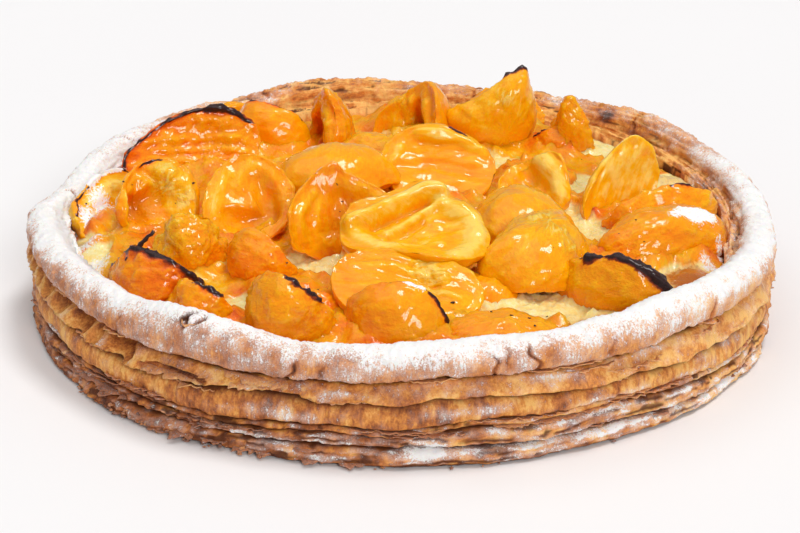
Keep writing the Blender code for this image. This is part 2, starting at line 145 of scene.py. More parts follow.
# Patches of sugar on the side: the angle, the height, the spread along and up, and how thick
SIDE_PATCHES = [
    (253, 15.6, 6, 2.6, 0.85), (276, 18.4, 4, 2.0, 0.75), (282, 19.0, 2.5, 1.8, 0.8),
    (273.2, 6.2, 2.6, 3.2, 1.5), (291, 27.4, 3, 1.3, 0.9), (307, 28.2, 3, 1.3, 0.8),
    (299, 16.6, 10, 1.4, 0.6), (314, 15.0, 8, 1.4, 0.6), (322, 18.7, 6, 1.8, 0.55),
    (262, 24.5, 2.5, 0.9, 0.5), (285, 5.6, 12, 1.2, 0.75), (308, 5.0, 14, 1.6, 0.7),
    (295, 11.4, 16, 1.3, 0.55), (318, 10.0, 12, 1.4, 0.5), (252, 6.4, 10, 1.1, 0.75),
    (262, 2.5, 8, 1.4, 0.5), (205, 10.5, 10, 2.0, 0.5), (120, 6, 30, 2.2, 0.4), (60, 17, 18, 2.4, 0.45),
    (160, 17, 16, 2.4, 0.45), (30, 6, 26, 2.4, 0.45), (287, 2.0, 12, 1.6, 0.45), (325, 3.0, 14, 1.8, 0.6),
]
# Torn sheets in the seams: the angle, the span, the height, how far each stands out and turns up
FLAKES = [
    (234, 16, 21.0, 4.6, -1.2), (247, 5, 24.6, 6.2, -1.5), (240, 8, 18.4, 5.4, 0.9),
    (251, 14, 26.4, 4.3, -1.6), (262, 12, 22.8, 4.3, -1.2), (304, 12, 24.6, 5.2, 1.2),
    (296, 9, 27.8, 4.8, 0.6), (326, 12, 22.4, 5.0, 0.8), (318, 8, 27.2, 4.6, 0.8),
    (228, 14, 11.2, 5.2, 0.8), (221, 18, 6.2, 5.4, -0.6), (245, 12, 7.4, 5.4, 0.9),
    (255, 10, 5.2, 5.2, -0.8), (268, 16, 11.8, 4.2, 0.4), (287, 18, 14.4, 4.4, 0.6),
    (308, 22, 13.6, 4.3, 0.5), (226, 5, 2.2, 8.4, -1.6), (231, 7, 3.2, 8.0, -1.0),
    (237, 9, 3.4, 8.6, -1.6), (243, 5, 2.0, 8.2, 0.6), (249, 7, 2.4, 7.4, -1.2), (257, 6, 2.0, 6.8, -0.8),
    (234, 6, 1.4, 9.0, -0.6), (241, 4, 5.4, 7.0, 1.2), (223, 4, 4.4, 7.0, 1.0), (263, 5, 1.4, 6.4, -0.4),
    (238.9, 3, 38.5, 3.2, 2.2),
]
RANDOM_FLAKES = 70
FLAKE_ROWS = 5
# Crumbs that cling to the foot: the angle, the spread in degrees, how many, and how high they reach
CRUMBS = [(232, 9, 30, 5.0), (224, 6, 8, 3.5), (246, 7, 12, 3.5), (258, 8, 6, 2.0), (290, 25, 6, 1.5)]

# Custard, as in the part's source. A swell is given by its x, y, spread and rise.
CUSTARD_LEVEL = 30.5
EDGE_DIP = 1.6
CUSTARD_SWELLS = [
    (98, -62, 11, 5.0), (66, -99, 10, 4.5), (34, -88, 16, 2.0), (72, 70, 14, 3.0), (64, 16, 12, 2.5),
    (44, -36, 16, 3.0), (-34, -72, 12, 2.0), (5, 0, 45, 3.0), (-110, -40, 14, 4.0), (99, 27, 12, 5.0),
]
CUSTARD_COLUMNS = 400
CUSTARD_ROWS = 104
# How far round it the custard looks for fruit
FRUIT_REACH = 12.0
# Browned places on the custard: x, y, spread and strength
CUSTARD_BROWNED = [
    (98, -60, 11, 1.4), (66, -99, 11, 1.5), (99, 27, 7, 0.6), (76, 76, 12, 0.4), (-60, 92, 20, 0.5),
    (46, 96, 9, 0.7), (-36, 84, 9, 0.7), (104, 8, 7, 0.6),
]
# Where bare custard shows between the halves: x, y and spread. Elsewhere sunken fruit shows.
CREAM = [
    (36, -79, 19), (24, -68, 9), (-33, -50, 11), (69, 24, 12), (58, -9, 10), (66, -16, 8), (-16, 72, 9),
    (73, 68, 11), (90, 60, 11), (-57, -82, 6), (-109, -46, 6), (100, -60, 12), (67, -98, 12),
    (32, 50, 10), (101, 28, 9), (-3, -109, 5), (86, 44, 8), (-50, 96, 7), (-116, -30, 6), (60, -79, 7),
    (-45, -78, 5),
]

# The apricot halves from the first on, as in the part's source, those on top first. x, y and z place
# the middle of the cut face, which looks towards the angle face, leaning tilt away from straight up.
# spin turns the long axis within the cut face. Then come half the length and half the width, the
# depth of the flesh and of the stone's hollow, how far its sides (fold) and its ends (bend) turn up,
# and how far its tip is drawn out.
FRUIT = [
    # x, y, z, face, tilt, spin, length, width, depth, hollow, fold, bend, tip
    (3, -58, 49, 274, 19, 82, 26, 19, 11, 4, 0.25, 0.0, 0),
    (-23, -36, 44, 282, 63, 182, 14, 22, 14, 6, 0.35, 0.0, 4),
    (-56, -20, 44, 274, 45, 350, 17, 17, 14, 6, 0.1, 0.0, 0),
    (-89, -15, 41, 294, 54, 350, 16, 16, 14, 6, 0.25, 0.0, 0),
    (12, 17, 43, 275, 35, 87, 22, 18, 14, 2, 0.05, 0.0, 0),
    (-81, 44, 37, 284, 58, 108, 28, 17, 15, 3, 0.1, 0.05, 0),
    (37, 74, 42, 106, 78, 197, 15, 18, 11, 3, 0.1, 0.0, 6),
    (46, 6, 39, 249, 39, 55, 15, 16, 12, 4, 0.2, 0.0, 0),
    (0, -89, 42, 282, 20, 72, 24, 18, 15, 3, 0.05, 0.0, 0),
    (-3, -97, 33, 73, 67, 93, 18, 18, 16, 3, 0.1, 0.0, 0),
    (-36, -98, 36, 66, 62, 73, 15, 18, 16, 3, 0.1, 0.0, 0),
    (47, -53, 37, 150, 170, 74, 22, 16, 15, 3, 0.0, 0.0, 0),
    (77, 1, 34, 296, 75, 152, 22, 14, 9, 1, 0.1, 0.0, 6),
    (91, -31, 32, 126, 160, 95, 25, 14, 15, 3, 0.0, 0.0, 0),
    (70, -68, 34, 64, 47, 60, 22, 19, 16, 3, 0.1, 0.0, 0),
    (-103, 1, 32.5, 328, 42, 79, 21, 16, 13, 4, 0.15, 0.0, 0),
    (-83, -68, 33, 61, 59, 87, 18, 16, 15, 3, 0.1, 0.0, 0),
    (-72, -48, 37, 94, 75, 87, 11, 16, 13, 3, 0.1, 0.0, 0),
    (-48, -59, 37, 58, 71, 90, 13, 13, 12, 3, 0.1, 0.0, 0),
    (-52, 74, 33, 63, 76, 86, 17, 17, 13, 3, 0.1, 0.1, 0),
    (-33, 66, 35, 215, 86, 174, 17, 14, 13, 5, 0.2, 0.0, 5),
    (6, 73, 35, 222, 81, 185, 17, 15, 12, 5, 0.3, 0.0, 5),
    (67, 68, 37, 48, 75, 181, 15, 10, 9, 3, 0.1, 0.0, 4),
    (61, 68, 33, 77, 61, 93, 11, 10, 9, 3, 0.1, 0.0, 0),
    (-26, 12, 36, 283, 161, 5, 21, 23, 17, 3, 0.0, 0.0, 0),
    (41, -27, 35, 173, 165, 56, 19, 18, 16, 3, 0.0, 0.0, 0),
    (93, -4, 34, 111, 59, 85, 21, 15, 13, 3, 0.1, 0.0, 0),
    (-66, -87, 33, 54, 62, 82, 12, 13, 12, 3, 0.1, 0.0, 0),
    (-27, -86, 31, 81, 68, 0, 10, 10, 10, 3, 0.1, 0.0, 0),
    (-9, 45, 33, 219, 168, 72, 18, 12, 12, 3, 0.0, 0.0, 0),
    (27, -72, 28, 251, 155, 0, 12, 12, 10, 3, 0.0, 0.0, 0),
    (32, -105, 30, 98, 173, 95, 22, 12, 9, 3, 0.0, 0.0, 0),
    (-52, 22, 36, 60, 14, 40, 17, 15, 12, 2, 0.0, 0.0, 0),
    (6, -18, 37, 300, 12, 70, 17, 15, 12, 2, 0.0, 0.0, 0),
    (10, 52, 36, 100, 20, 90, 18, 14, 12, 2, 0.0, 0.0, 0),
    (40, 101, 35, 265, 30, 90, 15, 12, 11, 2, 0.1, 0.0, 2),
    (4, 102, 34, 265, 25, 90, 13, 11, 10, 2, 0.1, 0.0, 2),
    (-66, 89, 33, 300, 25, 60, 15, 12, 11, 2, 0.1, 0.0, 0),
    (50, 34, 35, 80, 15, 20, 15, 13, 12, 2, 0.0, 0.0, 0),
    (-38, -76, 34, 80, 20, 90, 13, 11, 11, 2, 0.0, 0.0, 0),
    (-88, -44, 34, 70, 20, 90, 13, 11, 11, 2, 0.0, 0.0, 0),
]
# In the tables below a half is named by its number, from 1.
# How far the rims of some halves reach, at angles round the cut face, as shares of their ovals
OUTLINES = {
    1: {
        16: 0.95, 41: 0.94, 60: 0.93, 77: 1.2, 90: 1.2, 104: 1.0, 125: 0.9, 157: 0.97, 184: 0.97,
        220: 1.03, 256: 0.9, 277: 1.03, 289: 1.14, 303: 1.16, 326: 1.06, 351: 1.0,
    },
    2: {
        0: 1.16, 9: 1.07, 20: 1.01, 34: 0.95, 85: 0.94, 107: 1.02, 125: 1.1, 140: 1.0, 270: 0.95,
        304: 0.94, 328: 0.86, 347: 0.88,
    },
    6: {0: 0.97, 30: 0.93, 60: 1.0, 90: 1.0, 120: 1.0, 150: 1.08, 180: 1.08, 240: 1.0, 300: 1.0},
    7: {
        5: 1.15, 25: 0.98, 48: 0.85, 83: 0.85, 114: 0.95, 140: 1.05, 212: 0.95, 240: 1.2, 256: 1.28,
        275: 1.08, 300: 0.86, 330: 0.82, 350: 0.98,
    },
    8: {0: 0.9, 30: 1.0, 60: 0.95, 100: 1.08, 134: 0.9, 160: 0.85, 200: 0.8, 240: 0.75, 317: 0.8},
    12: {0: 1.2, 30: 1.25, 50: 1.5, 72: 1.12, 90: 0.95, 140: 1.0, 180: 1.1, 225: 0.9, 270: 1.0},
    13: {
        25: 1.0, 42: 0.95, 70: 1.0, 97: 1.05, 120: 0.88, 230: 1.0, 282: 0.95, 310: 1.2, 329: 1.1,
        353: 0.98,
    },
    16: {80: 1.0, 130: 0.92, 167: 1.05, 187: 1.15, 204: 1.35, 231: 1.05, 255: 0.85, 300: 0.9},
    18: {8: 1.35, 34: 1.1, 50: 1.15, 90: 0.95, 118: 0.95, 143: 0.85, 179: 0.95, 300: 0.85, 340: 1.25},
    21: {0: 1.0, 30: 0.85, 60: 0.6, 90: 0.55, 120: 0.65, 160: 0.9, 210: 1.0, 300: 1.0},
    22: {12: 0.95, 42: 1.0, 85: 1.4, 104: 1.5, 140: 1.0, 272: 0.8, 293: 1.05, 322: 1.15, 349: 1.0},
    23: {
        0: 1.0, 26: 0.8, 53: 0.85, 81: 0.95, 136: 0.95, 186: 1.05, 223: 1.25, 242: 1.3, 280: 1.05,
        319: 0.75,
    },
}
FRUIT_COLUMNS = 104
HIDDEN_COLUMNS = 64
LAST_SHOWN = 32
SKIN_ROWS = 25
FACE_ROWS = 28
# The cut faces: how high the lip stands and how deep the stone's hollow is, where they differ
LIP = 2.2
FACES = {
    1: (0.9, 0.7), 2: (0.4, 0.8), 3: (0.7, 3.0), 4: (0.8, 3.0), 5: (0.2, 0.7), 6: (0.3, 0.5),
    8: (0.5, 2.0), 9: (0.8, 1.2), 13: (0.3, 0.3), 16: (0.5, 1.6), 20: (0.5, 1.5),
}
# How far the stone's hollow is shifted along and across the cut face
HOLLOW_SHIFTS = {
    1: (0, -2), 2: (-2, -2), 3: (4, 8), 4: (2, -7), 5: (-3, 3), 6: (4, -4), 8: (-3, -3), 9: (6, 3),
    16: (2, -4), 21: (-3, 2), 22: (-4, 3),
}
# Ridges and dents of the cut faces: the half, the path, the width and the height
FOLDS = [
    (1, [(-23, -0.4), (-15, 4), (-6, 10.5), (2, 16), (8, 17.5)], 2.7, 4.6),
    (1, [(-14, -1), (-5.4, 5.6), (3.5, 11.6)], 1.1, -2.2),
    (1, [(-9.4, -3.3), (-3.3, 2), (3, 8.4), (8, 12.1)], 1.2, 1.9),
    (1, [(-8, -5.5), (-2, -1), (3, 4)], 0.9, -0.9),
    (1, [(12, 12.5), (19, 8.6), (22, 1.8), (21, -6.8), (16, -15)], 4.0, 2.2),
    (1, [(-6, -8), (4, -9), (10, -7)], 1.5, 0.9),
    (1, [(-20, -4), (-14, -9), (-6, -12)], 3.0, 1.2),
    (2, [(12, -3), (9, -11), (5, -17)], 3.0, 0.9),
    (2, [(10, 8), (3, 14), (-6, 14)], 1.6, 0.9),
    (2, [(4, 8), (-4, 9), (-9, 5)], 1.2, 0.5),
    (3, [(-10, -9), (-2, -12), (7, -10)], 2.4, 0.8),
    (4, [(-3, -14), (8, -14), (13, -7), (13, 0)], 1.4, 1.7),
    (4, [(-5, -10), (4, -11), (9, -5)], 1.2, 0.9),
    (4, [(-9, 3), (-3, 9), (4, 10)], 5.5, 3.0),
    (4, [(0, -9), (6, -8)], 3.5, -2.0),
    (4, [(-13, -6), (-9, -1)], 1.6, -1.5),
    (5, [(-6, 15), (8, 14), (18, 8)], 2.8, 1.8),
    (5, [(-18, 2), (-14, 9)], 2.0, 1.0),
    (5, [(-16, -1), (-2, 2), (12, -1)], 3.0, -0.8),
    (6, [(-16, 12), (-2, 8), (12, 3), (21, -2)], 1.3, 0.6),
    (6, [(-14, 8), (-2, 3), (10, -1), (19, -6)], 1.2, 0.7),
    (6, [(-12, 3), (0, -2), (12, -7)], 1.3, 0.6),
    (6, [(-8, -3), (6, -9), (13, -11)], 1.4, 0.8),
    (6, [(8, 12), (16, 7)], 2.0, 0.9),
    (8, [(-7, 11), (4, 11), (11, 6)], 3.0, 2.4),
    (8, [(-8, 4), (3, 3)], 2.6, -1.6),
    (9, [(-18, 6), (-4, 9), (12, 6)], 1.8, 0.9),
    (9, [(-2, 3), (8, 1), (18, -2)], 1.5, 0.9),
    (16, [(-14, 5), (-3, 9), (9, 8)], 2.4, 1.2),
    (21, [(12, 2), (4, 4), (-6, 2)], 2.0, -1.6),
    (21, [(14, -5), (6, -10), (-2, -11)], 2.2, 1.5),
    (22, [(13, 2), (4, 3), (-4, 2)], 1.8, -1.6),
    (22, [(14, -4), (6, -7), (-3, -9)], 1.8, 1.4),
]
# How crumpled each half is, from smooth at 0
PLAIN_CRUMPLED = 0.5
CRUMPLED = {
    1: 0.12, 2: 0.2, 3: 0.2, 4: 0.3, 5: 0.05, 6: 0.45, 7: 0.1, 8: 0.15, 9: 0.2, 10: 0.25, 11: 0.6,
    12: 0.25, 13: 0.12, 14: 0.5, 15: 0.5, 16: 0.4, 17: 0.7, 18: 0.8, 19: 0.35, 20: 0.12, 22: 0.3,
    25: 0.05, 26: 0.15, 29: 0.3, 31: 0.2,
}
# Where the skin is finely wrinkled, with pale streaks of painted highlight in its colour: x, y, z and radius
WRINKLES = [
    (46, -52.6, 50, 5), (51, -58.4, 49, 5), (55, -66, 48, 4), (38.7, 63, 55, 4), (42.5, 63.4, 58.6, 3),
    (9.8, -84, 44, 5), (5, -81, 45.5, 5), (1, 81, 45, 5), (2.7, 77.7, 39, 5), (-86.6, -8.7, 47.6, 6),
    (-79.5, -11, 41, 4), (88, -22, 44, 5), (-4, -97, 47, 5), (-36, -98, 49, 5), (72, -66, 45, 4),
]
# The colour of each half, from red-orange at 0 over amber at 0.5 to pale yellow at 1, and how it
# changes from one side to the other towards +X
PLAIN_TONE = (0.6, 0.0)
TONES = {
    1: (0.72, 0.03), 2: (0.54, -0.02), 3: (0.62, -0.05), 4: (0.55, 0.05), 5: (0.62, -0.03),
    6: (0.44, 0.04), 7: (0.78, 0.0), 8: (0.76, 0.05), 9: (0.62, 0.06), 10: (0.54, 0.14), 11: (0.52, 0.05),
    12: (0.66, 0.0), 13: (0.9, 0.03), 14: (0.48, 0.0), 15: (0.62, 0.0), 16: (0.78, 0.0),
    17: (0.24, -0.14), 18: (0.62, -0.1), 19: (0.44, 0.05), 20: (0.54, 0.12), 21: (0.5, 0.06),
    22: (0.6, -0.05), 23: (0.62, 0.0), 24: (0.36, 0.0), 25: (0.62, 0.0), 26: (0.66, 0.0),
    27: (0.52, 0.05), 28: (0.5, 0.0), 29: (0.45, 0.0), 30: (0.62, 0.0), 32: (0.5, 0.08), 33: (0.5, 0.0),
    41: (0.62, 0.0),
}
# Burnt stretches of the rims: the half, the angles of the start and the end, and the thickness
BURNT_RIMS = [
    (6, 12, 50, 0.3), (6, 46, 76, 0.8), (6, 68, 104, 0.25), (6, 98, 178, -0.1), (16, 57, 135, 0.0),
    (16, 135, 178, -0.1), (17, -6, 62, 0.9), (17, 52, 130, 0.8), (17, 124, 186, 1.1), (28, 96, 150, 0.9),
    (20, 36, 80, 0.4), (20, 78, 142, 0.2), (10, 84, 116, 0.2), (10, 122, 172, 0.9), (11, 112, 136, 0.9),
    (11, 130, 160, 1.1), (7, 338, 378, 1.0), (24, 0, 66, 0.45), (27, 96, 132, 0.8), (15, 92, 120, 1.5),
    (15, 116, 150, 1.1), (15, 144, 204, 1.8), (4, 172, 202, 0.1), (5, 60, 76, 0.15),
]
# Sugared stretches of the rims: the half, and the angles of the start and the end
SUGARED_RIMS = [(10, 97, 124), (16, 70, 128)]
# This half has sugar only on its cut face, and none lies lower than this
SUGARED_FACE = 16
LOWEST_SUGAR = 30
# Patches of sugar on the fruit and custard: x, y, radius and thickness
FRUIT_SUGAR = [
    (100, -31, 5.2, 1.1), (106, -27, 4.5, 1.1), (94, -35, 2.5, 0.8), (-116, -15, 5.5, 0.75),
    (-111, -5, 5.5, 0.75), (-111, -36, 6, 0.7), (-107, -52, 6, 0.7), (106, -45, 4, 0.7),
    (112, -35, 3, 0.7),
]
# Burnt specks on the fruit and custard: x, y and size
SPECKS = [
    (-22.2, -32.2, 1.1), (-24, -31, 0.9), (-23.7, -31.1, 0.8), (-22.9, -33.8, 0.7), (15.6, -95.2, 1.7),
    (34.5, -105.4, 1.6), (41.8, -107.9, 1.4), (46.9, -88.7, 1.2), (80.4, -38.8, 0.9), (82.7, -46.4, 1.0),
    (-82.4, -15.6, 0.8), (49.7, -69.6, 0.6), (68.3, 50.8, 0.7), (-56.7, -23.8, 0.9), (-100.4, -17.2, 1.5),
    (-97.7, -15.2, 1.2), (-76.4, -10.6, 1.8), (-39.9, -67.8, 1.1), (20.4, -47.1, 1.3),
    (-115.5, -9.0, 1.3), (-29, -84, 1.8), (40, -104, 1.5), (28, -101, 1.2), (-71, -43, 1.2),
    (-48, -47, 1.0),
]
RANDOM_SPECKS = 14
SPECKS_REACH = 108
# The burnt strip that stands up from one half's edge: its path, and how thick it is
STALK = [(-93.5, -70.5, 43.0), (-90.5, -70.2, 46.5), (-88.5, -69.8, 48.5), (-84.2, -69.5, 53.0)]
STALK_RADIUS = 1.0

# Colours from a value, as stops of (place, colour)
CRUST_COLOURS = [
    (0.0, (0.94, 0.52, 0.15)), (0.25, (0.77, 0.30, 0.062)), (0.5, (0.50, 0.155, 0.040)),
    (0.75, (0.24, 0.072, 0.026)), (1.0, (0.07, 0.020, 0.010)),
]
CREAM_COLOURS = [
    (0.30, (1.0, 0.59, 0.13)), (0.41, (1.0, 0.70, 0.22)), (0.50, (1.0, 0.78, 0.31)),
    (0.61, (1.0, 0.88, 0.48)),
]
FLESH_COLOURS = [
    (0.0, (0.60, 0.075, 0.001)), (0.22, (0.88, 0.18, 0.001)), (0.45, (0.94, 0.30, 0.001)),
    (0.68, (0.92, 0.37, 0.001)), (0.86, (0.92, 0.46, 0.003)), (1.0, (0.96, 0.62, 0.11)),
]
FLOOR_COLOURS = [(0.3, (0.86, 0.845, 0.85)), (0.7, (0.87, 0.86, 0.86))]
SUGAR = (0.93, 0.915, 0.90, 1.0)
# The colour of the painted shade in the creases and grooves of the pastry
CREVICE_SHADE = (0.10, 0.024, 0.006, 1.0)
BROWNED = (0.50, 0.14, 0.015, 1.0)
AMBER = (0.62, 0.20, 0.004, 1.0)
SINGED = (0.22, 0.03, 0.006, 1.0)
BLACK = (0.030, 0.011, 0.012, 1.0)

# The photograph's camera, which looks along +Y
CAMERA_DISTANCE = 825.27
CAMERA_ABOVE = 24.31
CAMERA_PITCH = 23.65
CAMERA_SIDE = -1.72
CAMERA_ROLL = -0.39
CAMERA_LENS = 99.63
SENSOR_WIDTH = 36.0
# The lights: the direction that each comes from, how wide it is in degrees, and its strength
LIGHTS = [
    ("key", (250, 60, 900), 18, 1.36),
    ("sky", (-260, 60, 900), 60, 0.62),
    ("front", (330, -900, 560), 20, 1.28),
]
WORLD_COLOUR = (1.0, 0.99, 0.985, 1.0)
WORLD_STRENGTH = 0.33
FLOOR_REACH = 4e3


def around(table, angle):
    """The values at these angles on a smooth closed curve through the table's values."""
    angles = sorted(table)
    stops = np.array([angles[-1] - 360.0, *angles, angles[0] + 360.0])
    values = np.array([table[angles[-1]], *(table[a] for a in angles), table[angles[0]]], float)
    angle = np.asarray(angle, float) % 360.0
    before = np.searchsorted(stops, angle, side="right") - 1
    share = (angle - stops[before]) / (stops[before + 1] - stops[before])
    share = share * share * (3 - 2 * share)
    return values[before] * (1 - share) + values[before + 1] * share


def smoothstep(low, high, value):
    share = np.clip((value - low) / (high - low), 0.0, 1.0)
    return share * share * (3 - 2 * share)


def wave(angle, turns, start):
    return np.sin(np.radians(turns * angle + start))


def away_from(angle, middle):
    """How far an angle is from another, from -180 to 180 degrees."""
    return (angle - middle + 180) % 360 - 180


def bump(angle, middle, spread, height):
    """A smooth bump round one angle of the tart."""
    return height * np.exp(-((away_from(angle, middle) / spread) ** 2))


def directions(cell, seed):
    """A scrambled direction for each corner of the noise's grid."""
    mixed = cell[..., 0] * 73856093 ^ cell[..., 1] * 19349663 ^ cell[..., 2] * 83492791 ^ seed * 15485863
    mixed = (mixed ^ mixed >> 15) * 2246822519 & 0xFFFFFFFF
    mixed = (mixed ^ mixed >> 13) * 3266489917 & 0xFFFFFFFF
    turn = (mixed & 0xFFFF) / 65536 * math.tau
    up = (mixed >> 16 & 0xFFFF) / 32768 - 1
    flat = np.sqrt(1 - up * up)
    return np.stack([np.cos(turn) * flat, np.sin(turn) * flat, up], axis=-1)


def noise(points, size, seed=0):
    """Smooth noise from about -1 to 1, whose features have this size."""
    at = points / np.asarray(size, float)
    cell = np.floor(at).astype(np.int64)
    inside = at - cell
    ease = inside**3 * (inside * (inside * 6 - 15) + 10)
    total = 0.0
    for corner in np.ndindex(2, 2, 2):
        share = np.prod(np.where(corner, ease, 1 - ease), axis=-1)
        total = total + share * np.sum(directions(cell + corner, seed) * (inside - corner), axis=-1)
    return 1.7 * total


def fractal(points, size, octaves, seed=0):
    """Noise of this size with finer noise over it."""
    size = np.asarray(size, float)
    return sum(noise(points, size / 2**k, seed + 31 * k) / 2**k for k in range(octaves))


def ridged(points, size, octaves, seed=0):
    """Thin raised creases, from 0 to 1."""
    return np.clip(1 - 1.8 * np.abs(fractal(points, size, octaves, seed)), 0, 1) ** 2


def strands(points, seed, fine=1.2, long=16.0):
    """Noise in long thin lines that run round the tart, as the edges of fine leaves do."""
    level = points[..., 2] + 0.8 * np.hypot(points[..., 0], points[..., 1])
    at = np.stack([points[..., 0] / long, points[..., 1] / long, level / fine], axis=-1)
    return fractal(at, 1.0, 3, seed)


def spots(table, x, y):
    """The total at x and y of round spots, each given by its x, y, spread and strength."""
    return sum(
        strength * np.exp(-(((x - at_x) ** 2 + (y - at_y) ** 2) / spread**2))
        for at_x, at_y, spread, strength in table
    )


def within_arc(phi, start, end):
    """How far inside a stretch of a rim each angle is, in degrees."""
    return 0.5 * (end - start) - np.abs(away_from(phi, 0.5 * (start + end)))


def outward(points):
    """Unit normals of rings of points."""
    along = np.roll(points, -1, axis=1) - np.roll(points, 1, axis=1)
    normal = np.cross(along, np.gradient(points, axis=0))
    return normal / np.maximum(np.linalg.norm(normal, axis=-1, keepdims=True), 1e-9)


def mesh_piece(name, vertices, faces, values):
    """An object from points in millimetres and faces, with its named values on the points."""
    data = bpy.data.meshes.new(name)
    data.from_pydata((np.asarray(vertices) * MM).tolist(), [], faces)
    for key, value in values.items():
        value = np.asarray(value, np.float32).reshape(len(vertices), -1)
        kind, field = ("FLOAT_VECTOR", "vector") if value.shape[1] == 3 else ("FLOAT", "value")
        data.attributes.new(key, kind, "POINT").data.foreach_set(field, value.ravel())
    data.shade_smooth()
    made = bpy.data.objects.new(name, data)
    bpy.context.scene.collection.objects.link(made)
    return made


def wrapped(levels, count):
    """The numbers of points in rings, with each ring's first point again at its end."""
    index = np.arange(levels * count).reshape(levels, count)
    return np.concatenate([index, index[:, :1]], axis=1)


def quads(index):
    """The faces between the neighbours in a grid of point numbers."""
    corners = [index[:-1, :-1], index[:-1, 1:], index[1:, 1:], index[1:, :-1]]
    return np.stack(corners, axis=-1).reshape(-1, 4).tolist()


def ring_piece(name, rings, values, poles=None):
    """A closed piece over rings of points, with a pole at each end, or closed on itself."""
    levels, count = rings.shape[:2]
    index = wrapped(levels, count)
    if poles is None:
        index = np.concatenate([index, index[:1]])
    faces = quads(index)
    vertices = rings.reshape(-1, 3)
    values = {key: value.reshape(levels * count, -1) for key, value in values.items()}
    if poles is not None:
        first = levels * count
        vertices = np.concatenate([vertices, np.array(poles, float)])
        faces += [(first, b, a) for a, b in pairwise(index[0].tolist())]
        faces += [(first + 1, a, b) for a, b in pairwise(index[-1].tolist())]
        values = {key: np.concatenate([value, value[:1], value[-1:]]) for key, value in values.items()}
    return mesh_piece(name, vertices, faces, values)


def padded(values, before, after):
    """The values with the first and last of each repeated, for the rings before and after them."""
    longer = {}
    for key, value in values.items():
        first = np.repeat(value[:1], before, axis=0)
        last = np.repeat(value[-1:], after, axis=0)
        longer[key] = np.concatenate([first, value, last])
    return longer


def joined(parts):
    """Points, faces and tints of several parts as one."""
    vertices, faces, tints, first = [], [], [], 0
    for points, part_faces, tint in parts:
        vertices.append(points)
        faces += [[first + k for k in face] for face in part_faces]
        tints.append(tint)
        first += len(points)
    return np.concatenate(vertices), faces, np.concatenate(tints)


def round_points(radius, height, angle):
    """Points from radius, height and angle, each an array of rings."""
    turn = np.radians(angle)
    return np.stack([radius * np.cos(turn), radius * np.sin(turn), height + 0 * turn], axis=-1)


def lump(place, size, number, rows=6, columns=9):
    """Points, faces and tint of a small uneven crumb."""
    up = np.linspace(0.06, 0.94, rows)[:, None] * np.pi
    ball = round_points(np.sin(up), np.cos(up), np.arange(columns) * 360.0 / columns)
    ball = ball * (1 + 0.9 * noise(ball + 7.0 * number, 0.7, number))[..., None]
    tilt = Matrix.Rotation(2.4 * number, 3, "Z") @ Matrix.Rotation(0.5 * math.sin(number), 3, "X")
    points = (ball * (1.0, 0.6, 0.34) * 0.5 * size) @ np.array(tilt).T + place
    index = wrapped(rows, columns)
    faces = [index[0, -2::-1].tolist(), *quads(index), index[-1, :-1].tolist()]
    return points.reshape(-1, 3), faces, np.full(rows * columns, 0.55 + 0.2 * math.sin(number))


def crag(angle, number):
    """How far the edge of one leaf of the side stands out."""
    return (
        0.35 * wave(angle, 7 + 2 * number, 70 * number)
        + 0.3 * wave(angle, 13 + number, 40 * number)
        + 0.3 * wave(angle, 23 - 2 * number, 110 * number)
    )


def outer_radius(angle):
    return OUTER_RADIUS + around(RADIUS_OFFSETS, angle)


def foot_spread(angle):
    """How far the foot of the side has spread."""
    return sum(bump(angle, *place) for place in SPREAD_FOOT)


def inner_radius(angle, height):
    """The radius of the crust's inner wall, which the custard fills."""
    top = outer_radius(angle) - ROLL_WIDTH - around(LEDGE_WIDTHS, angle)
    share = (LEDGE_HEIGHT - height) / (LEDGE_HEIGHT - BASE_THICKNESS)
    return top + 0.4 * wave(angle, 9, 30) - WALL_FLARE * share


def seam_heights(angle):
    """The heights of the seams of the side, from the foot to the groove under the roll."""
    thin = around(THIN_SEAM, angle)
    middle = around(MIDDLE_SEAM, angle) + 0.5 * wave(angle, 31, 10) * wave(angle, 5, 0)
    at = round_points(OUTER_RADIUS, 0.0, angle)
    low, fine, high, top = (SEAM_WANDER * fractal(at, 15.0, 3, 60 + k) for k in range(4))
    return [
        0 * angle,
        around(BASE_SEAM, angle) + 0.6 * low,
        thin - THIN_LEAF_HEIGHT + 0.6 * fine,
        thin + 0.6 * fine,
        middle + high,
        around(ROLL_SEAM, angle) + 0.5 * top,
    ]


def leaf_rings(number, angle, outer, foot, top):
    """Radius, height, share of the height and depth in its creases, for one leaf of the side."""
    groove, low, high, low_crease, high_crease, count = LEAVES[number][:6]
    next_groove = ROLL_GROOVE if number == UPPER_LEAF else LEAVES[number + 1][0]
    share = (0.5 - 0.5 * np.cos(np.pi * np.arange(count) / count))[:, None]
    spread = foot_spread(angle) if number == 0 else 0.0
    torn = bump(angle, *TORN_OPEN) if number == UPPER_LEAF else 0.0
    inset = low + (high - low) * np.clip((share - 0.3) / 0.42, -0.5, 1.5) + torn * smoothstep(0.2, 0.8, share)
    in_low = np.clip(1 - share / low_crease, 0, 1) ** 2.2
    in_high = np.clip(1 - (1 - share) / high_crease, 0, 1) ** 2.2
    inset = inset + (groove - low) * in_low + (next_groove - high) * in_high
    radius = outer + spread + crag(angle, number) - inset
    crease = np.maximum(in_low, in_high)
    return radius, foot + share * (top - foot), share + 0 * angle, crease + 0 * angle


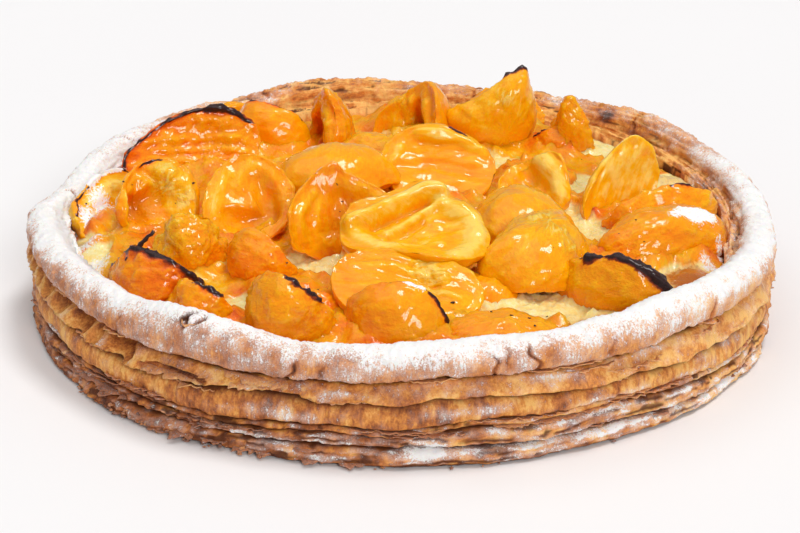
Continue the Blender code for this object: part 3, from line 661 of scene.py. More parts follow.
def bubbles(angle, share):
    """The open bubbles of the torn leaf: how deep each point is, how near an edge, and how far up inside,
    which sets the painted shade under each bubble's top.
    """
    depth, edge, upper = 0 * share, 0 * share, 0 * share
    for middle, half_width, centre, half_height, deep in BUBBLES:
        rise = (share - centre) / half_height
        inside = 1 - (away_from(angle, middle) / half_width) ** 2 - rise**2
        depth = np.maximum(depth, deep * np.clip(inside, 0, 1) ** 0.5)
        edge = np.maximum(edge, np.exp(-((inside / 0.25) ** 2)))
        upper = np.maximum(upper, (inside > 0.05) * np.clip(0.5 + 0.7 * rise, 0, 1))
    return depth, edge, upper


def patches(angle, height):
    """The sugar in the patches on the side."""
    total = 0.0
    for middle, centre, along, up, thick in SIDE_PATCHES:
        away = (away_from(angle, middle) / along) ** 2 + ((height - centre) / up) ** 2
        total = np.maximum(total, thick * np.exp(-away))
    return total


def leaf_grain(points, layered):
    """Coordinates for the pastry's streaks: drawn out upwards at 0, and along the layers at 1."""
    level = points[..., 2] - 36 + 0.8 * (np.hypot(points[..., 0], points[..., 1]) - 122)
    upright = points * (1.0, 1.0, 1 / 6)
    level_lines = np.stack([points[..., 0] / 8, points[..., 1] / 8, 1.2 * level], axis=-1)
    layered = np.asarray(layered)[..., None]
    return (upright + (level_lines - upright) * layered) * MM


def side_relief(points, own, leaf, share, crease, angle, pits):
    """How far the surface of the side stands out of its leaves."""
    hollow, lip, _ = pits
    rough, lines, streaks = np.array(LEAVES)[:, 6:9].T[:, leaf]
    ragged = 1 + bump(angle, 234, 24, 1.3) * (leaf < THIN_LEAF)
    out = rough * ragged * fractal(points, 2.4, 3, 1)
    out += 0.9 * fractal(own, 17.0, 2, 2) * (1 - 0.5 * crease)
    out += streaks * fractal(points, (2.0, 2.0, 14.0), 3, 3)
    out += lines * ragged * strands(points, 4, 0.9)
    out += 0.5 * (leaf == UPPER_LEAF) * smoothstep(0.5, 0.0, share) * fractal(own, 7.0, 2, 8)
    out *= (1 - 0.6 * crease) * (1 - 0.7 * smoothstep(0.0, 1.0, hollow))
    return out + 0.5 * lip * (1 - crease) - hollow


def side_looks(points, layers, leaf, height, crease, angle, pits):
    """The values of the side: its sugar, how it is baked with painted shade in its bubbles, the painted shade
    of its creases, its shine and its grain.
    """
    hollow, lip, upper = pits
    level, baked = np.array(LEAVES)[:, 9:].T[:, leaf]
    powder = 0.85 * patches(angle, height) + 0.3 * np.clip(outward(points)[..., 2], 0, 1) - 0.1
    powder += bump(angle, 300, 50, 0.22) * (leaf < THIN_LEAF) * (1 - crease) + 0.5 * layers
    powder += 0.35 * fractal(points, 5.0, 3, 6) - 0.7 * crease - 0.6 * (hollow > 0.2)
    bake_and_shade = baked + 0.3 * fractal(points, 7.0, 3, 7) + 0.25 * strands(points, 9) * (leaf < MIDDLE_LEAF)
    bake_and_shade += 0.2 * fractal(points, (1.6, 1.6, 12.0), 2, 10) * (leaf == MIDDLE_LEAF)
    bake_and_shade += np.where(leaf < MIDDLE_LEAF, bump(angle, 232, 30, 0.14), -bump(angle, 215, 22, 0.12))
    bake_and_shade -= bump(angle, 325, 30, 0.26) + bump(angle, 100, 70, 0.12)
    # Darker inside the bubbles and most under their tops, which is painted shade; lighter along their rims
    bake_and_shade += 0.1 * (hollow > 0) + 0.5 * upper - 0.12 * lip
    return {
        "powder": powder,
        "bake_and_shade": bake_and_shade,
        # Painted shade in the creases between the leaves and along the fine layer lines
        "crevice_shade": np.maximum(crease, 0.75 * smoothstep(0.12, 0.5, -layers)),
        "glassy": (leaf == UPPER_LEAF) * (1 - 0.6 * crease),
        "grain": leaf_grain(points, level),
    }


def crust_side():
    """The layered side with the flat base and the inner wall, one closed piece."""
    angle = np.arange(SIDE_COLUMNS) * 360.0 / SIDE_COLUMNS
    outer = outer_radius(angle)
    seams = seam_heights(angle)
    parts = [leaf_rings(k, angle, outer, seams[k], seams[k + 1]) for k in range(len(LEAVES))]
    radius, height, share, crease = (np.concatenate([part[k] for part in parts]) for k in range(4))
    leaf = np.concatenate([np.full(part[0].shape, k) for k, part in enumerate(parts)])
    points = round_points(radius, height, angle)
    own = points + leaf[..., None] * (0, 0, 40.0)
    layers = strands(points, 4, 0.9) * (leaf < MIDDLE_LEAF)
    pits = [value * (leaf == UPPER_LEAF) for value in bubbles(angle, share)]
    out = side_relief(points, own, leaf, share, crease, angle, pits)
    lift = 0.45 * fractal(own, (5.0, 5.0, 3.0), 2, 5) * (height > 0.5)
    points = round_points(radius + out, np.maximum(height + lift, 0.0), angle)
    values = side_looks(points, layers, leaf, height, crease, angle, pits)
    foot = points[:1] * (1 - 1.2 / OUTER_RADIUS)
    foot[..., 2] = 0.0
    inner = [
        round_points(outer - ROLL_GROOVE - 4, seams[-1], angle),
        round_points(inner_radius(angle, 28.0), 28.0, angle),
        round_points(inner_radius(angle, BASE_THICKNESS), BASE_THICKNESS, angle),
    ]
    rings = np.concatenate([foot, points, inner])
    poles = [(0, 0, 0), (0, 0, BASE_THICKNESS)]
    return ring_piece("crust_side", rings, padded(values, 1, len(inner)), poles)


def smooth_rings(outline, steps):
    """More rings on a smooth curve through these."""
    outline = np.array(outline)
    padded = np.concatenate([2 * outline[:1] - outline[1:2], outline, 2 * outline[-1:] - outline[-2:-1]])
    rings = []
    for k in range(len(outline) - 1):
        a, b, c, d = padded[k : k + 4]
        for step in range(steps):
            t = step / steps
            rings.append(
                b + 0.5 * t * (c - a + t * (2 * a - 5 * b + 4 * c - d + t * (3 * (b - c) + d - a)))
            )
    rings.append(outline[-1])
    return np.array(rings)


def roll_cracks(angle, along):
    """How deep the cracks across the roll are. along runs from the groove at 0 to the ledge at 1."""
    depth = 0.0
    for number, (middle, deep, start, end) in enumerate(ROLL_CRACKS):
        bent = middle + 0.9 * np.sin(9 * along + number) + 0.35 * np.sin(31 * along + 2 * number)
        reach = smoothstep(start - 0.04, start + 0.06, along) * smoothstep(end + 0.06, end - 0.04, along)
        depth = depth + bump(angle, bent, 0.3, deep) * reach
    return depth


def roll_rings(angle, outer, groove, ledge):
    """Rings of points over the roll from its groove to the ledge."""
    crest = around(RIM_HEIGHTS, angle) + 0.3 * wave(angle, 17, 0)
    outline = [np.stack([outer - ROLL_GROOVE - bump(angle, *TORN_OPEN), groove])]
    rippled = outer + 0.3 * wave(angle, 11, 20)
    for inset, share in ROLL:
        outline.append(np.stack([rippled - inset, groove + share * (crest - groove)]))
    width = around(LEDGE_WIDTHS, angle)
    outline.append(np.stack([ledge + 0.55 * width, LEDGE_HEIGHT + 1.6 + 0.5 * wave(angle, 13, 0)]))
    outline.append(np.stack([ledge, LEDGE_HEIGHT + 0 * angle]))
    rings = smooth_rings(outline, ROLL_STEPS)
    return round_points(rings[:, 0], rings[:, 1], angle)


def roll_sugar(points, angle, along):
    """The sugar on the roll, thick on its crown and thin on its outer side."""
    reach = around(ROLL_POWDER_REACH, angle) + 0.2 * noise(points, 6.0, 19)
    inner_end = 0.86 - bump(angle, 0, 28, 0.1) + bump(angle, 190, 45, 0.16)
    crown = smoothstep(0.5 - 0.5 * reach, 0.72 - 0.3 * reach, along)
    crown = crown * smoothstep(inner_end, inner_end - 0.26, along)
    return around(ROLL_POWDER, angle) * (0.33 + 0.97 * crown) + 0.35 * fractal(points, 7.0, 3, 16)


def crust_roll():
    """The rolled rim, closed through the inside of the wall."""
    angle = np.arange(SIDE_COLUMNS) * 360.0 / SIDE_COLUMNS
    outer = outer_radius(angle)
    groove = seam_heights(angle)[-1]
    ledge = inner_radius(angle, LEDGE_HEIGHT)
    points = roll_rings(angle, outer, groove, ledge)
    along = np.linspace(0, 1, len(points))[:, None] + 0 * angle
    free = smoothstep(0.0, 0.1, along)
    bare = 1 - smoothstep(0.2, 0.8, around(ROLL_POWDER, angle))
    inside = smoothstep(0.6, 0.78, along)
    leafy = np.maximum(inside, 0.8 * bare)
    cracks = roll_cracks(angle, along)
    out = 0.6 * fractal(points, 12.0, 3, 11) + 0.25 * fractal(points, 2.4, 3, 12)
    out += 0.35 * fractal(points, (1.9, 1.9, 7.0), 2, 13) * smoothstep(0.5, 0.3, along)
    out += leafy * (1.8 * strands(points, 14, 1.5) + 0.6 * fractal(points, 1.9, 3, 15)) - cracks
    powder = roll_sugar(points, angle, along)
    powder -= 0.6 * cracks + 0.5 * (1 - free) + 0.3 * inside * bare + 0.15 * leafy * (out < 0)
    out += 0.35 * np.clip(powder, 0, 1) * (0.5 + fractal(points, 1.6, 2, 17))
    points = points + outward(points) * (out * free)[..., None]
    bake_and_shade = 0.46 + 0.16 * fractal(points, 9.0, 3, 18) - bump(angle, 325, 32, 0.2) - 0.22 * bare - 0.14 * inside
    for middle, at, strength in ROLL_BURNS:
        bake_and_shade += bump(angle, middle, 2.4, strength) * np.exp(-(((along - at) / 0.09) ** 2))
    bake_and_shade += 0.4 * np.minimum(cracks, 1.0) + 0.3 * leafy * strands(points, 20, 1.1)
    values = {
        "powder": powder,
        "bake_and_shade": bake_and_shade,
        # Painted shade in the groove under the roll and in the grooves of its leafy parts
        "crevice_shade": 0.9 * (1 - free) + 0.9 * leafy * smoothstep(0.26, 0.75, -strands(points, 14, 1.5)),
        "grain": leaf_grain(points, leafy),
    }
    closing = [round_points(ledge - 0.5, 26.0, angle), round_points(outer - 9.0, groove - 2.0, angle)]
    return ring_piece("crust_roll", np.concatenate([points, closing]), padded(values, 0, len(closing)))


def crust_crumbs(random):
    """Crumbs that cling to the foot of the side, most of them at the left of the front."""
    parts = []
    for middle, spread, count, reach in CRUMBS:
        for _ in range(count):
            angle = random.normal(middle, 0.6 * spread)
            size = random.uniform(0.8, 2.6)
            height = max(0.3 * size, reach * random.random() ** 1.8)
            radius = outer_radius(angle) + foot_spread(angle) + random.uniform(-1.2, 0.8)
            parts.append(lump(round_points(radius, height, np.array(angle)), size, len(parts)))
    vertices, faces, tint = joined(parts)
    vertices[:, 2] = np.maximum(vertices[:, 2], 0.0)
    values = {"powder": 0.2 + 0 * tint, "bake_and_shade": tint, "grain": vertices * MM}
    return mesh_piece("crust_crumbs", vertices, faces, values)


def burnt_values(points):
    """The values of a piece that is burnt all over."""
    whole = np.ones(points.shape[:-1])
    return {"char": whole, "crumple": whole, "own": points * MM}


def burnt_specks(tree, random):
    """Burnt specks that lie on the fruit and the custard."""
    places = list(SPECKS)
    for _ in range(RANDOM_SPECKS):
        turn, reach = random.uniform(0, math.tau), SPECKS_REACH * math.sqrt(random.random())
        places.append((reach * math.cos(turn), reach * math.sin(turn), random.uniform(0.4, 0.8)))
    parts = []
    for number, (x, y, size) in enumerate(places):
        lands = tree.ray_cast(Vector((x, y, 90.0)), Vector((0, 0, -1)))[0]
        parts.append(lump((x, y, lands.z + 0.1 * size), 0.9 * size, number, 5, 7))
    vertices, faces, _ = joined(parts)
    return mesh_piece("burnt_specks", vertices, faces, burnt_values(vertices))


def burnt_stalk():
    """The burnt strip that stands up from the edge of one half."""
    path = np.array(STALK)
    share = np.linspace(0, len(path) - 1, 16)
    middle = np.stack([np.interp(share, range(len(path)), column) for column in path.T], axis=-1)[:, None]
    turn = np.arange(12)[None, :, None] * math.tau / 12
    side, front = np.array((0.0, 1.0, 0.0)), np.array((-0.75, 0.0, 0.66))
    points = middle + STALK_RADIUS * (np.cos(turn) * side + 0.7 * np.sin(turn) * front)
    points = points + (points - middle) * (0.9 * fractal(points, 2.0, 2, 55))[..., None]
    return ring_piece("burnt_stalk", points, burnt_values(points), [path[0], path[-1]])


def flake(angle, span, height, reach, lift, number):
    """Points, faces and tint of a thin sheet of pastry that stands out of a seam."""
    columns = max(8, int(span * 2.2))
    along = np.linspace(0, 1, columns)[None, :]
    across = np.linspace(0, 1, FLAKE_ROWS)[:, None]
    turn = angle + span * (along - 0.5) + 0 * across
    seed = np.stack([turn * 2.3, across * 3 + 0 * turn, number + 0 * turn], axis=-1)
    ragged = reach * np.clip(np.sin(np.pi * along), 0, 1) ** 0.45
    ragged = ragged * (0.85 + 0.5 * fractal(seed, (2.0, 9.0, 1.0), 3, number))
    rise = lift * across**2 + 0.5 * across * noise(seed, (3.0, 4.0, 1.0), number + 5)
    points = round_points(outer_radius(turn) - 3.6 + ragged * across, height + rise, turn)
    thick = 0.16 * outward(points)
    count = FLAKE_ROWS * columns
    index = np.arange(count).reshape(FLAKE_ROWS, columns)
    top = quads(index)
    under = [[k + count for k in face[::-1]] for face in top]
    border = np.concatenate([index[0], index[1:, -1], index[-1, -2::-1], index[-2::-1, 0]]).tolist()
    rim = [(b, a, a + count, b + count) for a, b in pairwise(border)]
    vertices = np.concatenate([(points + thick).reshape(-1, 3), (points - thick).reshape(-1, 3)])
    baked = 0.22 + 0.36 * smoothstep(20.0, 4.0, height) + 0.3 * (1 - across)
    return vertices, top + under + rim, np.tile((baked + 0 * along).ravel(), 2)


def crust_flakes(random):
    """Thin sheets that stand out of the seams all round the side."""
    places = list(FLAKES)
    for _ in range(RANDOM_FLAKES):
        angle = random.uniform(0, 360)
        seams = seam_heights(np.array([angle]))[1:]
        height = seams[random.integers(len(seams))][0] + random.uniform(-0.8, 0.5)
        span, reach, lift = random.uniform(3, 16), random.uniform(3.4, 4.3), random.uniform(-0.7, 0.7)
        places.append((angle, span, height, reach, lift))
    vertices, faces, tint = joined([flake(*place, number) for number, place in enumerate(places)])
    values = {"powder": 0.2 + 0 * tint, "bake_and_shade": tint, "glassy": 0.6 + 0 * tint, "grain": vertices * MM}
    return mesh_piece("crust_flakes", vertices, faces, values)


def custard_height(x, y):
    """The custard's baked surface: nearly level, with the places where it rose."""
    return CUSTARD_LEVEL + 0.5 * np.sin(x / 9 + 1) * np.sin(y / 11) + spots(CUSTARD_SWELLS, x, y)


def fruit_tree(halves):
    """A search tree over the surfaces of all the halves, in millimetres."""
    vertices, faces, first = [], [], 0
    for half in halves:
        data = half.data
        vertices += [vertex.co / MM for vertex in data.vertices]
        faces += [[first + k for k in face.vertices] for face in data.polygons]
        first += len(data.vertices)
    return BVHTree.FromPolygons(vertices, faces)


def creamy(points, wander):
    """Where bare custard shows, from 0 to 1."""
    cream = 0.0
    for x, y, spread in CREAM:
        away = np.hypot(points[..., 0] - x, points[..., 1] - y) / spread
        cream = np.maximum(cream, smoothstep(1.25, 1.0, away + wander))
    return cream


def custard_piece(tree):
    """The custard, which climbs where it meets the fruit, with fruit sunken in it where it isn't bare."""
    angle = np.arange(CUSTARD_COLUMNS) * 360.0 / CUSTARD_COLUMNS
    turn = np.radians(angle)
    ledge = inner_radius(angle, LEDGE_HEIGHT)
    rim = custard_height(ledge * np.cos(turn), ledge * np.sin(turn)) - EDGE_DIP
    edge = inner_radius(angle, np.minimum(rim, LEDGE_HEIGHT)) - GAP
    share = np.concatenate([[1.0], np.linspace(0.99, 0.01, CUSTARD_ROWS)])[:, None]
    x, y = share * edge * np.cos(turn), share * edge * np.sin(turn)
    blend = smoothstep(1.0, 0.94, share)
    points = np.stack([x, y, rim * (1 - blend) + custard_height(x, y) * blend], axis=-1)
    near = [tree.find_nearest(Vector(p), FRUIT_REACH)[3] or FRUIT_REACH for p in points.reshape(-1, 3)]
    near = np.array(near).reshape(x.shape)
    wander = 0.3 * fractal(points, 7.0, 3, 44)
    cream = creamy(points, wander)
    froth = 0.7 * fractal(points, 4.0, 3, 41) + 0.8 * ridged(points, 4.5, 3, 45)
    froth -= 0.6 * ridged(points, 2.6, 2, 46)
    sunken = 1.4 * fractal(points, 11.0, 2, 42) + 1.5 * ridged(points, 11.0, 3, 47)
    sunken += 0.7 * ridged(points, 4.5, 2, 50)
    lumps = cream * froth + (1 - cream) * sunken + 0.4 * fractal(points, 9.0, 2, 48)
    climb = (1 - cream) * (0.8 + 4.6 * np.exp(-near / 4.0)) + 2.0 * cream * np.exp(-near / 1.3)
    points[..., 2] += (lumps + climb) * blend
    burns = smoothstep(0.9, 1.0, share) * (0.3 + 0.5 * fractal(points, 8.0, 2, 43))
    fibres = 0.45 * fractal(points, 12.0, 3, 49) + 0.3 * ridged(points, 11.0, 3, 47)
    values = {
        "browned": spots(CUSTARD_BROWNED, x, y) + burns,
        "juice": np.maximum(1 - cream, np.exp(-near / 0.7) * (0.6 + 0.6 * wander)),
        # Darker where the sunken fruit meets the halves: painted shade
        "tone_and_shade": 0.5 + fibres - 0.14 * np.exp(-near / 2.0),
        "powder": sugar_at(points),
    }
    foot = round_points(inner_radius(angle, BASE_THICKNESS) - GAP, BASE_THICKNESS + GAP, angle)[None]
    poles = [(0, 0, BASE_THICKNESS + GAP), (0, 0, points[-1, :, 2].mean())]
    return ring_piece("custard_filling", np.concatenate([foot, points]), padded(values, 1, 0), poles)


def sugar_at(points):
    """The icing sugar that lies in patches on the fruit and custard."""
    total = 0.0
    for x, y, spread, thick in FRUIT_SUGAR:
        away = ((points[..., 0] - x) ** 2 + (points[..., 1] - y) ** 2) / spread**2
        total = total + thick * np.exp(-(away**2))
    return total


def rim_reach(number, phi, seed):
    """How far a half's rim reaches at these angles, as a share of its oval."""
    if number in OUTLINES:
        return around(OUTLINES[number], np.degrees(phi))
    return 1 + 0.05 * np.sin(2 * phi + seed) + 0.035 * np.sin(3 * phi + 1.7 * seed)


def fruit_grid(number, half):
    """Rings of points over an apricot half in its own frame, as the part's source gives them.

    With them come the ring of each point, from 0 at the skin's pole over 1 at the rim to 2 at the
    middle of the cut face, and its angle.
    """
    length, width, depth, hollow, fold, bend, tip = half[6:]
    seed = number - 1
    columns = HIDDEN_COLUMNS if number > LAST_SHOWN else FRUIT_COLUMNS
    skin = 1 - 0.97 * (1 - np.linspace(0, 1, SKIN_ROWS)) ** 1.3
    face = 1 + np.linspace(0, 1, FACE_ROWS + 1)[1:] ** 1.4 * 0.985
    ring = np.concatenate([skin, face])[:, None]
    phi = np.arange(columns)[None, :] * math.tau / columns
    inward = np.maximum(ring - 1, 0)
    sway = 0.2 * np.sin(2 * phi + 1.3 * seed) + 0.12 * np.sin(3 * phi + 2.1 * seed)
    quarter = np.minimum(ring, 1) * np.pi / 2
    out = np.where(ring <= 1, np.sin(quarter) ** 0.92, 1 - inward)
    lip, deep = FACES.get(number, (LIP, 0.85 * hollow))
    up = np.where(ring <= 1, -depth * np.cos(quarter), 0.0)
    up = up + lip * np.sin(np.minimum(inward / 0.34, 1.0) * np.pi / 2)
    up = up - (lip + deep) * smoothstep(0.34, 0.88, inward + sway * 4 * inward * (1 - inward))
    reach = rim_reach(number, phi, seed)
    along = length * out * reach * np.cos(phi) + tip * np.maximum(np.cos(phi), 0.0) ** 4 * out**2
    across = width * out * reach * np.sin(phi)
    up = up + 0.06 * width * out**3 * np.sin(3 * phi + 2.3 * seed)
    up = up + fold * across * across / width + bend * along * along / length
    across = across * (1 - 0.3 * abs(fold) * (across / width) ** 2)
    along = along * (1 - 0.3 * abs(bend) * (along / length) ** 2)
    shift_along, shift_across = HOLLOW_SHIFTS.get(number, (0, 0))
    pull = smoothstep(0.0, 1.0, inward)
    points = np.stack([along + shift_along * pull, across + shift_across * pull, up], axis=-1)
    return points, ring + 0 * phi, np.degrees(phi) + 0 * ring


def rim_sugar(number, ring, phi):
    """The sugar that lies along a half's rim."""
    total = 0 * ring
    for half, start, end in SUGARED_RIMS:
        if half == number:
            along = smoothstep(-3, 6, within_arc(phi, start, end))
            total = total + 1.1 * along * np.exp(-(((ring - 1.02) / 0.07) ** 2))
    return total


def away_from_path(points, path):
    """How far points are from a path of straight stretches, seen along the third axis."""
    flat = points[..., :2]
    nearest = np.inf
    for start, end in zip(np.array(path[:-1], float), np.array(path[1:], float)):
        way = end - start
        share = np.clip((flat - start) @ way / (way @ way), 0, 1)
        nearest = np.minimum(nearest, np.linalg.norm(flat - start - share[..., None] * way, axis=-1))
    return nearest


def folds(number, points):
    """How far the ridges and dents of a cut face stand out."""
    total = 0.0
    for half, path, width, height in FOLDS:
        if half == number:
            total = total + height * np.exp(-((away_from_path(points, path) / width) ** 3))
    return total


def wrinkles(points):
    """How finely wrinkled the skin is at each point."""
    total = 0.0
    for x, y, z, radius in WRINKLES:
        total = np.maximum(total, np.exp(-((np.linalg.norm(points - (x, y, z), axis=-1) / radius) ** 4)))
    return total


def placed(points, half):
    """The points in the tart's frame."""
    x, y, z, face, tilt, spin = half[:6]
    turned = (
        Matrix.Rotation(math.radians(face), 3, "Z")
        @ Matrix.Rotation(math.radians(tilt), 3, "Y")
        @ Matrix.Rotation(math.radians(spin), 3, "Z")
    )
    return points @ np.array(turned).T + (x, y, z)


def burnt(number, ring, phi, points):
    """How burnt each point is, how thick the burnt edge stands, and how singed the fruit beside it is."""
    total, thick, singed = 0 * ring, 0 * ring, 0 * ring
    ragged = fractal(points, 2.6, 3, 51)
    away = np.abs(ring - 1.03 - 0.03 * fractal(points, 5.0, 2, 52))
    for half, start, end, height in BURNT_RIMS:
        if half == number:
            taper = smoothstep(-5, 14, within_arc(phi, start, end) + 5 * ragged)
            reach = (0.016 + 0.036 * height) * (0.45 + 0.55 * taper) * (1 + 0.4 * ragged)
            total = np.maximum(total, smoothstep(0, 0.15, taper) * smoothstep(1.9, 0.6, away / reach))
            thick = np.maximum(thick, 0.75 * height * taper * smoothstep(1.5, 0.2, away / reach))
            singed = np.maximum(singed, taper * np.exp(-((away / (0.05 + 0.06 * height)) ** 2)))
    return total, thick, singed


def skin_relief(local, ring, crumpled, seed):
    """How far the wrinkles of the skin stand out."""
    creases = 1.1 * ridged(local, (8.0, 5.0, 5.0), 3, seed + 12) + 0.5 * fractal(local, 3.6, 2, seed + 13)
    relief = 0.3 * ridged(local, (14.0, 7.0, 7.0), 3, seed + 1) + 0.1 * fractal(local, 3.0, 2, seed + 2)
    relief += crumpled * (creases - 0.3) + 0.3 * ridged(local, (8.0, 2.4, 2.4), 2, seed + 15)
    edge = smoothstep(0.6, 0.95, ring) * (0.15 + 0.5 * crumpled)
    return relief + edge * ridged(local, (3.4, 3.4, 9.0), 2, seed + 8)


def cut_relief(local, ring, phi, crumpled, seed):
    """How far the fibres and lumps of the cut face stand out."""
    spokes = round_points(6.0, 1.4 * ring, phi)
    relief = (0.06 + 0.3 * crumpled) * fractal(spokes, 1.0, 3, seed + 3) * smoothstep(1.9, 1.45, ring)
    relief += 0.5 * fractal(local, (12.0, 5.0, 8.0), 2, seed + 14) - 0.15
    lumps = fractal(local, 3.4, 3, seed + 4) + ridged(local, (7.0, 4.0, 5.0), 2, seed + 9)
    return relief + (0.05 + 0.7 * crumpled) * lumps


def apricot(name, number, half):
    """One apricot half at full detail."""
    local, ring, phi = fruit_grid(number, half)
    seed = 100 * number
    own = local * MM
    wrinkled = wrinkles(placed(local, half))
    crumpled = CRUMPLED.get(number, PLAIN_CRUMPLED) + 0.6 * wrinkled
    face = smoothstep(0.98, 1.12, ring)
    rim = np.exp(-(((ring - 1.03) / 0.09) ** 2))
    cut = cut_relief(local, ring, phi, crumpled, seed) + folds(number, local)
    relief = (1 - face) * skin_relief(local, ring, crumpled, seed) + face * cut
    char, thick, singed = burnt(number, ring, phi, local)
    out = relief + (0.6 + 0.8 * crumpled) * fractal(local, 13.0, 2, seed)
    out += rim * (0.3 + 0.6 * crumpled) * fractal(local, 4.5, 3, seed + 5)
    out += thick * (1.2 + 0.9 * fractal(local, 3.0, 2, seed + 6) + 0.5 * fractal(local, 1.2, 2, seed + 11))
    local = local + outward(local) * out[..., None]
    points = placed(local, half)
    x, y, z = np.moveaxis(points, -1, 0)
    tone_and_shade, slope = TONES.get(number, PLAIN_TONE)
    tone_and_shade = tone_and_shade + slope * (x - half[0]) / 12 + 0.12 * fractal(points, 9.0, 3, seed + 7)
    tone_and_shade += face * (0.12 * fractal(local, (9.0, 1.8, 4.0), 2, seed + 10) + 0.05)
    # Paler ridged streaks in the finely wrinkled patches: a painted highlight standing in for glare
    tone_and_shade += wrinkled * (0.05 + 0.4 * ridged(local, (5.0, 2.4, 2.4), 3, seed + 16))
    # Paler on raised relief and darker in its creases, and paler where the surface faces up: painted light
    # and shade
    tone_and_shade += 0.22 * np.clip(relief - 0.3, -0.7, 0.7) + 0.1 * (outward(points)[..., 2] - 0.4)
    # Darker where the half comes near the custard, which is painted shade; a little darker along the rim, and
    # browner where singed
    tone_and_shade -= 0.14 * smoothstep(6.0, 1.0, z - custard_height(x, y)) + 0.06 * rim + 0.5 * singed
    deep = FACES.get(number, (LIP, 3.0 * (half[9] > 3)))[1]
    dusted = (z > LOWEST_SUGAR) * (face if number == SUGARED_FACE else 1)
    values = {
        "tone_and_shade": tone_and_shade,
        "char": char,
        "amber": smoothstep(1.42, 1.85, ring) * min(deep / 3, 1),
        "powder": sugar_at(points) * dusted + rim_sugar(number, ring, phi),
        "crumple": crumpled,
        "own": own,
    }
    return ring_piece(name, points, values, [points[0].mean(axis=0), points[-1].mean(axis=0)])


def feed(node, inputs):
    """Sets a node's inputs, each to a plain value or from a field."""
    for key, value in inputs.items():
        if isinstance(value, Field):
            value.tree.links.new(value.socket, node.inputs[key])
        else:
            node.inputs[key].default_value = value


class Field:
    """What a node gives over a surface. Sums and products with it are fields too."""

    def __init__(self, node, output):
        self.tree = node.id_data
        self.socket = node.outputs[output]

    def combined(self, operation, other):
        node = self.tree.nodes.new("ShaderNodeMath")
        node.operation = operation
        feed(node, {0: self, 1: other})
        return Field(node, "Value")

    def __add__(self, other):
        return self.combined("ADD", other)

    def __sub__(self, other):
        return self.combined("SUBTRACT", other)

    def __mul__(self, other):
        return self.combined("MULTIPLY", other)


class Surface:
    """A material with its nodes."""

    def __init__(self, name):
        self.material = bpy.data.materials.new(name)
        self.material.use_nodes = True
        self.nodes = self.material.node_tree.nodes

    def value(self, name, output="Fac"):
        """The value that the points have under this name."""
        node = self.nodes.new("ShaderNodeAttribute")
        node.attribute_name = name
        return Field(node, output)

    def noise(self, size, detail, roughness=0.55, stretch=(1, 1, 1), place=None):
        """Noise over the object's own coordinates, or others, with features of this size in millimetres."""
        mapping = self.nodes.new("ShaderNodeMapping")
        place = place or Field(self.nodes.new("ShaderNodeTexCoord"), "Object")
        feed(mapping, {"Vector": place, "Scale": [1 / (size * MM * s) for s in stretch]})
        node = self.nodes.new("ShaderNodeTexNoise")
        feed(node, {"Vector": Field(mapping, "Vector"), "Scale": 1.0})
        feed(node, {"Detail": detail, "Roughness": roughness})
        return Field(node, "Fac")

    def finished(self, inputs, bumps=()):
        """The material with its shader's inputs, and bumps of height, strength and depth in millimetres."""
        inputs = dict(inputs)
        for height, strength, depth in bumps:
            node = self.nodes.new("ShaderNodeBump")
            feed(node, {"Strength": strength, "Distance": depth * MM, "Height": height})
            if "Normal" in inputs:
                feed(node, {"Normal": inputs["Normal"]})
            inputs["Normal"] = Field(node, "Normal")
        feed(self.nodes["Principled BSDF"], inputs)
        return self.material


def between(value, low, high, to_low=0.0, to_high=1.0):
    """The value's smooth way from low to high."""
    node = value.tree.nodes.new("ShaderNodeMapRange")
    node.interpolation_type = "SMOOTHSTEP"
    feed(node, {"Value": value, "From Min": low, "From Max": high, "To Min": to_low, "To Max": to_high})
    return Field(node, "Result")


def ramp(value, stops):
    """A colour from a value, through stops of (place, colour)."""
    node = value.tree.nodes.new("ShaderNodeValToRGB")
    elements = node.color_ramp.elements
    while len(elements) < len(stops):
        elements.new(0.5)
    for element, (place, colour) in zip(elements, stops):
        element.position = place
        element.color = (*colour, 1.0)
    feed(node, {"Fac": value})
    return Field(node, "Color")


def mixed(share, first, second):
    """Two colours mixed; either can be a plain colour."""
    node = share.tree.nodes.new("ShaderNodeMix")
    node.data_type = "RGBA"
    feed(node, {"Factor": share, 6: first, 7: second})
    return Field(node, 2)


def pastry_material():
    """Baked pastry: golden to brown, speckled, with painted shade in its creases, and icing sugar where
    powder is high.
    """
    surface = Surface("pastry")
    broad = surface.noise(5.0, 4)
    fine = surface.noise(1.1, 5, 0.7)
    grain = surface.noise(0.5, 3, 0.7)
    streak = surface.noise(0.8, 4, 0.65, place=surface.value("grain", "Vector"))
    # How baked the pastry is, with painted shade inside the bubbles of the torn leaf
    crust = ramp(surface.value("bake_and_shade") + broad * 0.6 + fine * 0.7 + streak * 0.9 - 1.1, CRUST_COLOURS)
    # Painted shade darkens the creases and grooves
    crust = mixed(between(surface.value("crevice_shade"), 0.1, 0.8, 0.0, 0.94), crust, CREVICE_SHADE)
    powder = surface.value("powder")
    haze = between(powder, -0.1, 0.9) * between(grain, 0.3, 0.65, 0.2, 0.6)
    dust = between(powder + fine + streak * 2.0 + grain * 1.5 - 2.25, 0.3, 0.95).combined("MAXIMUM", haze)
    inputs = {
        "Base Color": mixed(dust, crust, SUGAR),
        "Roughness": between(surface.value("glassy"), 0.0, 1.0, 0.55, 0.24) + dust * 0.35,
        "Specular IOR Level": 0.3,
        "Subsurface Weight": 0.15,
        "Subsurface Radius": (1.0, 0.45, 0.2),
        "Subsurface Scale": 1.0 * MM,
    }
    bumps = [(broad, 0.7, 1.0), (streak, 0.7, 0.4), (fine, 0.8, 0.45), (grain, 0.6, 0.25)]
    return surface.finished(inputs, bumps)


